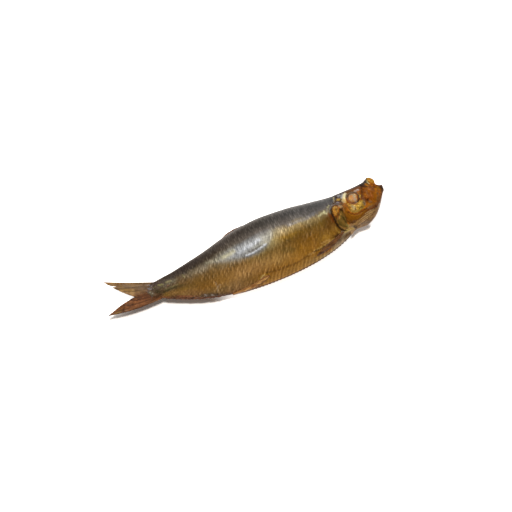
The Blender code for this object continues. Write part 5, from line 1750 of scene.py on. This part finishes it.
pale_scale = smoked_bone("pale_dried_scale", "#6e5c4a", "#aca097", 1.2, Metallic=0.2, Roughness=0.4)
FLAKE_SIZES = {"Density": 9e4, "Radius": 0.30 * MM, "Thickness": 0.12 * MM}  # density in flakes per m2
grow(loose_flakes, flake_tree, Material=pale_scale, **FLAKE_SIZES)
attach(loose_flakes, "root")
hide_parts("smoked_fish")

# ---------------------------------------------------------------------------------------------
# The surroundings: a plain pale floor under plain soft studio light. The paper's material glows white, as a
# light table would, apart from a patch under the tail and a small one under the throat, so hardly any shadow
# shows elsewhere.
# ---------------------------------------------------------------------------------------------

FLOOR_RADIUS = 2.5  # in metres, as all of the surroundings
FLOOR_GLOW = 0.85
SHADED_PATCHES = (  # middle, half size, and how much of the glow is left
    ((-0.112, -0.024, 0.0), (0.090, 0.036, 1.0), 0.0),
    ((0.108, -0.018, 0.0), (0.013, 0.020, 1.0), 0.15),
)
floor_mesh = bmesh.new()
bmesh.ops.create_circle(floor_mesh, cap_ends=True, segments=64, radius=FLOOR_RADIUS)
floor_data = bpy.data.meshes.new("floor")
floor_mesh.to_mesh(floor_data)
floor_mesh.free()
floor = placed("floor", floor_data)
floor_paper, tree, shader = new_material("matt_white_paper", Roughness=0.9, Specular_IOR_Level=0.2)
place = add(tree, "TexCoord", out="Object")
tooth = add(tree, "TexNoise", place, fill={"Scale": 1 / (2.0 * MM)})
colour = add(tree, "Mix", tooth, out=2, data_type="RGBA",
             fill={6: linear("#f4ede6"), 7: linear("#f8f1ea")})
tree.links.new(colour, shader.inputs["Base Color"])
glow = FLOOR_GLOW
for middle, reach, left in SHADED_PATCHES:
    patch = add(tree, "VectorMath", place, middle, operation="SUBTRACT")
    patch = add(tree, "VectorMath", patch, reach, operation="DIVIDE")
    patch = add(tree, "VectorMath", patch, out="Value", operation="LENGTH")
    patch = add(tree, "MapRange", patch, 0.7, 1.0, left, FLOOR_GLOW, interpolation_type="SMOOTHSTEP")
    glow = add(tree, "Math", patch, glow, operation="MINIMUM")
tree.links.new(glow, shader.inputs["Emission Strength"])
shader.inputs["Emission Color"].default_value = (1.0, 1.0, 1.0, 1.0)
floor.data.materials.append(floor_paper)

world = bpy.data.worlds.new("studio")
world.use_nodes = True
sky = world.node_tree.nodes["Background"]
sky.inputs["Color"].default_value = (1.0, 1.0, 1.0, 1.0)
sky.inputs["Strength"].default_value = 0.24
bpy.context.scene.world = world


def softbox(name, direction, distance, width, depth, power, glare):
    """A rectangular studio light that faces the fish; without glare it shows no reflection."""
    lamp = bpy.data.lights.new(name, "AREA")
    lamp.shape = "RECTANGLE"
    lamp.size = width
    lamp.size_y = depth
    lamp.energy = power
    made = placed(name, lamp)
    made.visible_glossy = glare
    away = Vector(direction).normalized()
    made.location = away * distance
    made.rotation_euler = away.to_track_quat("Z", "Y").to_euler()
    return made


softbox("overhead_softbox", (-0.02, 0.03, 0.999), 1.2, width=0.15, depth=0.15, power=16.0, glare=False)
softbox("back_softbox", (0.10, 0.37, 0.92), 1.1, width=0.46, depth=0.40, power=3.4, glare=True)

CAMERA_DISTANCE = 1.1336
CAMERA_AIM = Vector((0.00545, -0.00146, 0.0140))
CAMERA_AZIMUTH = math.radians(-23.2)
CAMERA_ELEVATION = math.radians(75.0)
camera = placed("camera", bpy.data.cameras.new("camera"))
backwards = Vector((
    math.sin(CAMERA_AZIMUTH) * math.cos(CAMERA_ELEVATION),
    -math.cos(CAMERA_AZIMUTH) * math.cos(CAMERA_ELEVATION),
    math.sin(CAMERA_ELEVATION),
))
camera.location = CAMERA_AIM + backwards * CAMERA_DISTANCE
camera.rotation_euler = backwards.to_track_quat("Z", "Y").to_euler()
camera.data.lens = 85.5
camera.data.sensor_width = 36.0
camera.data.clip_end = 20.0
bpy.context.scene.camera = camera
bpy.context.scene.view_settings.view_transform = "Standard"
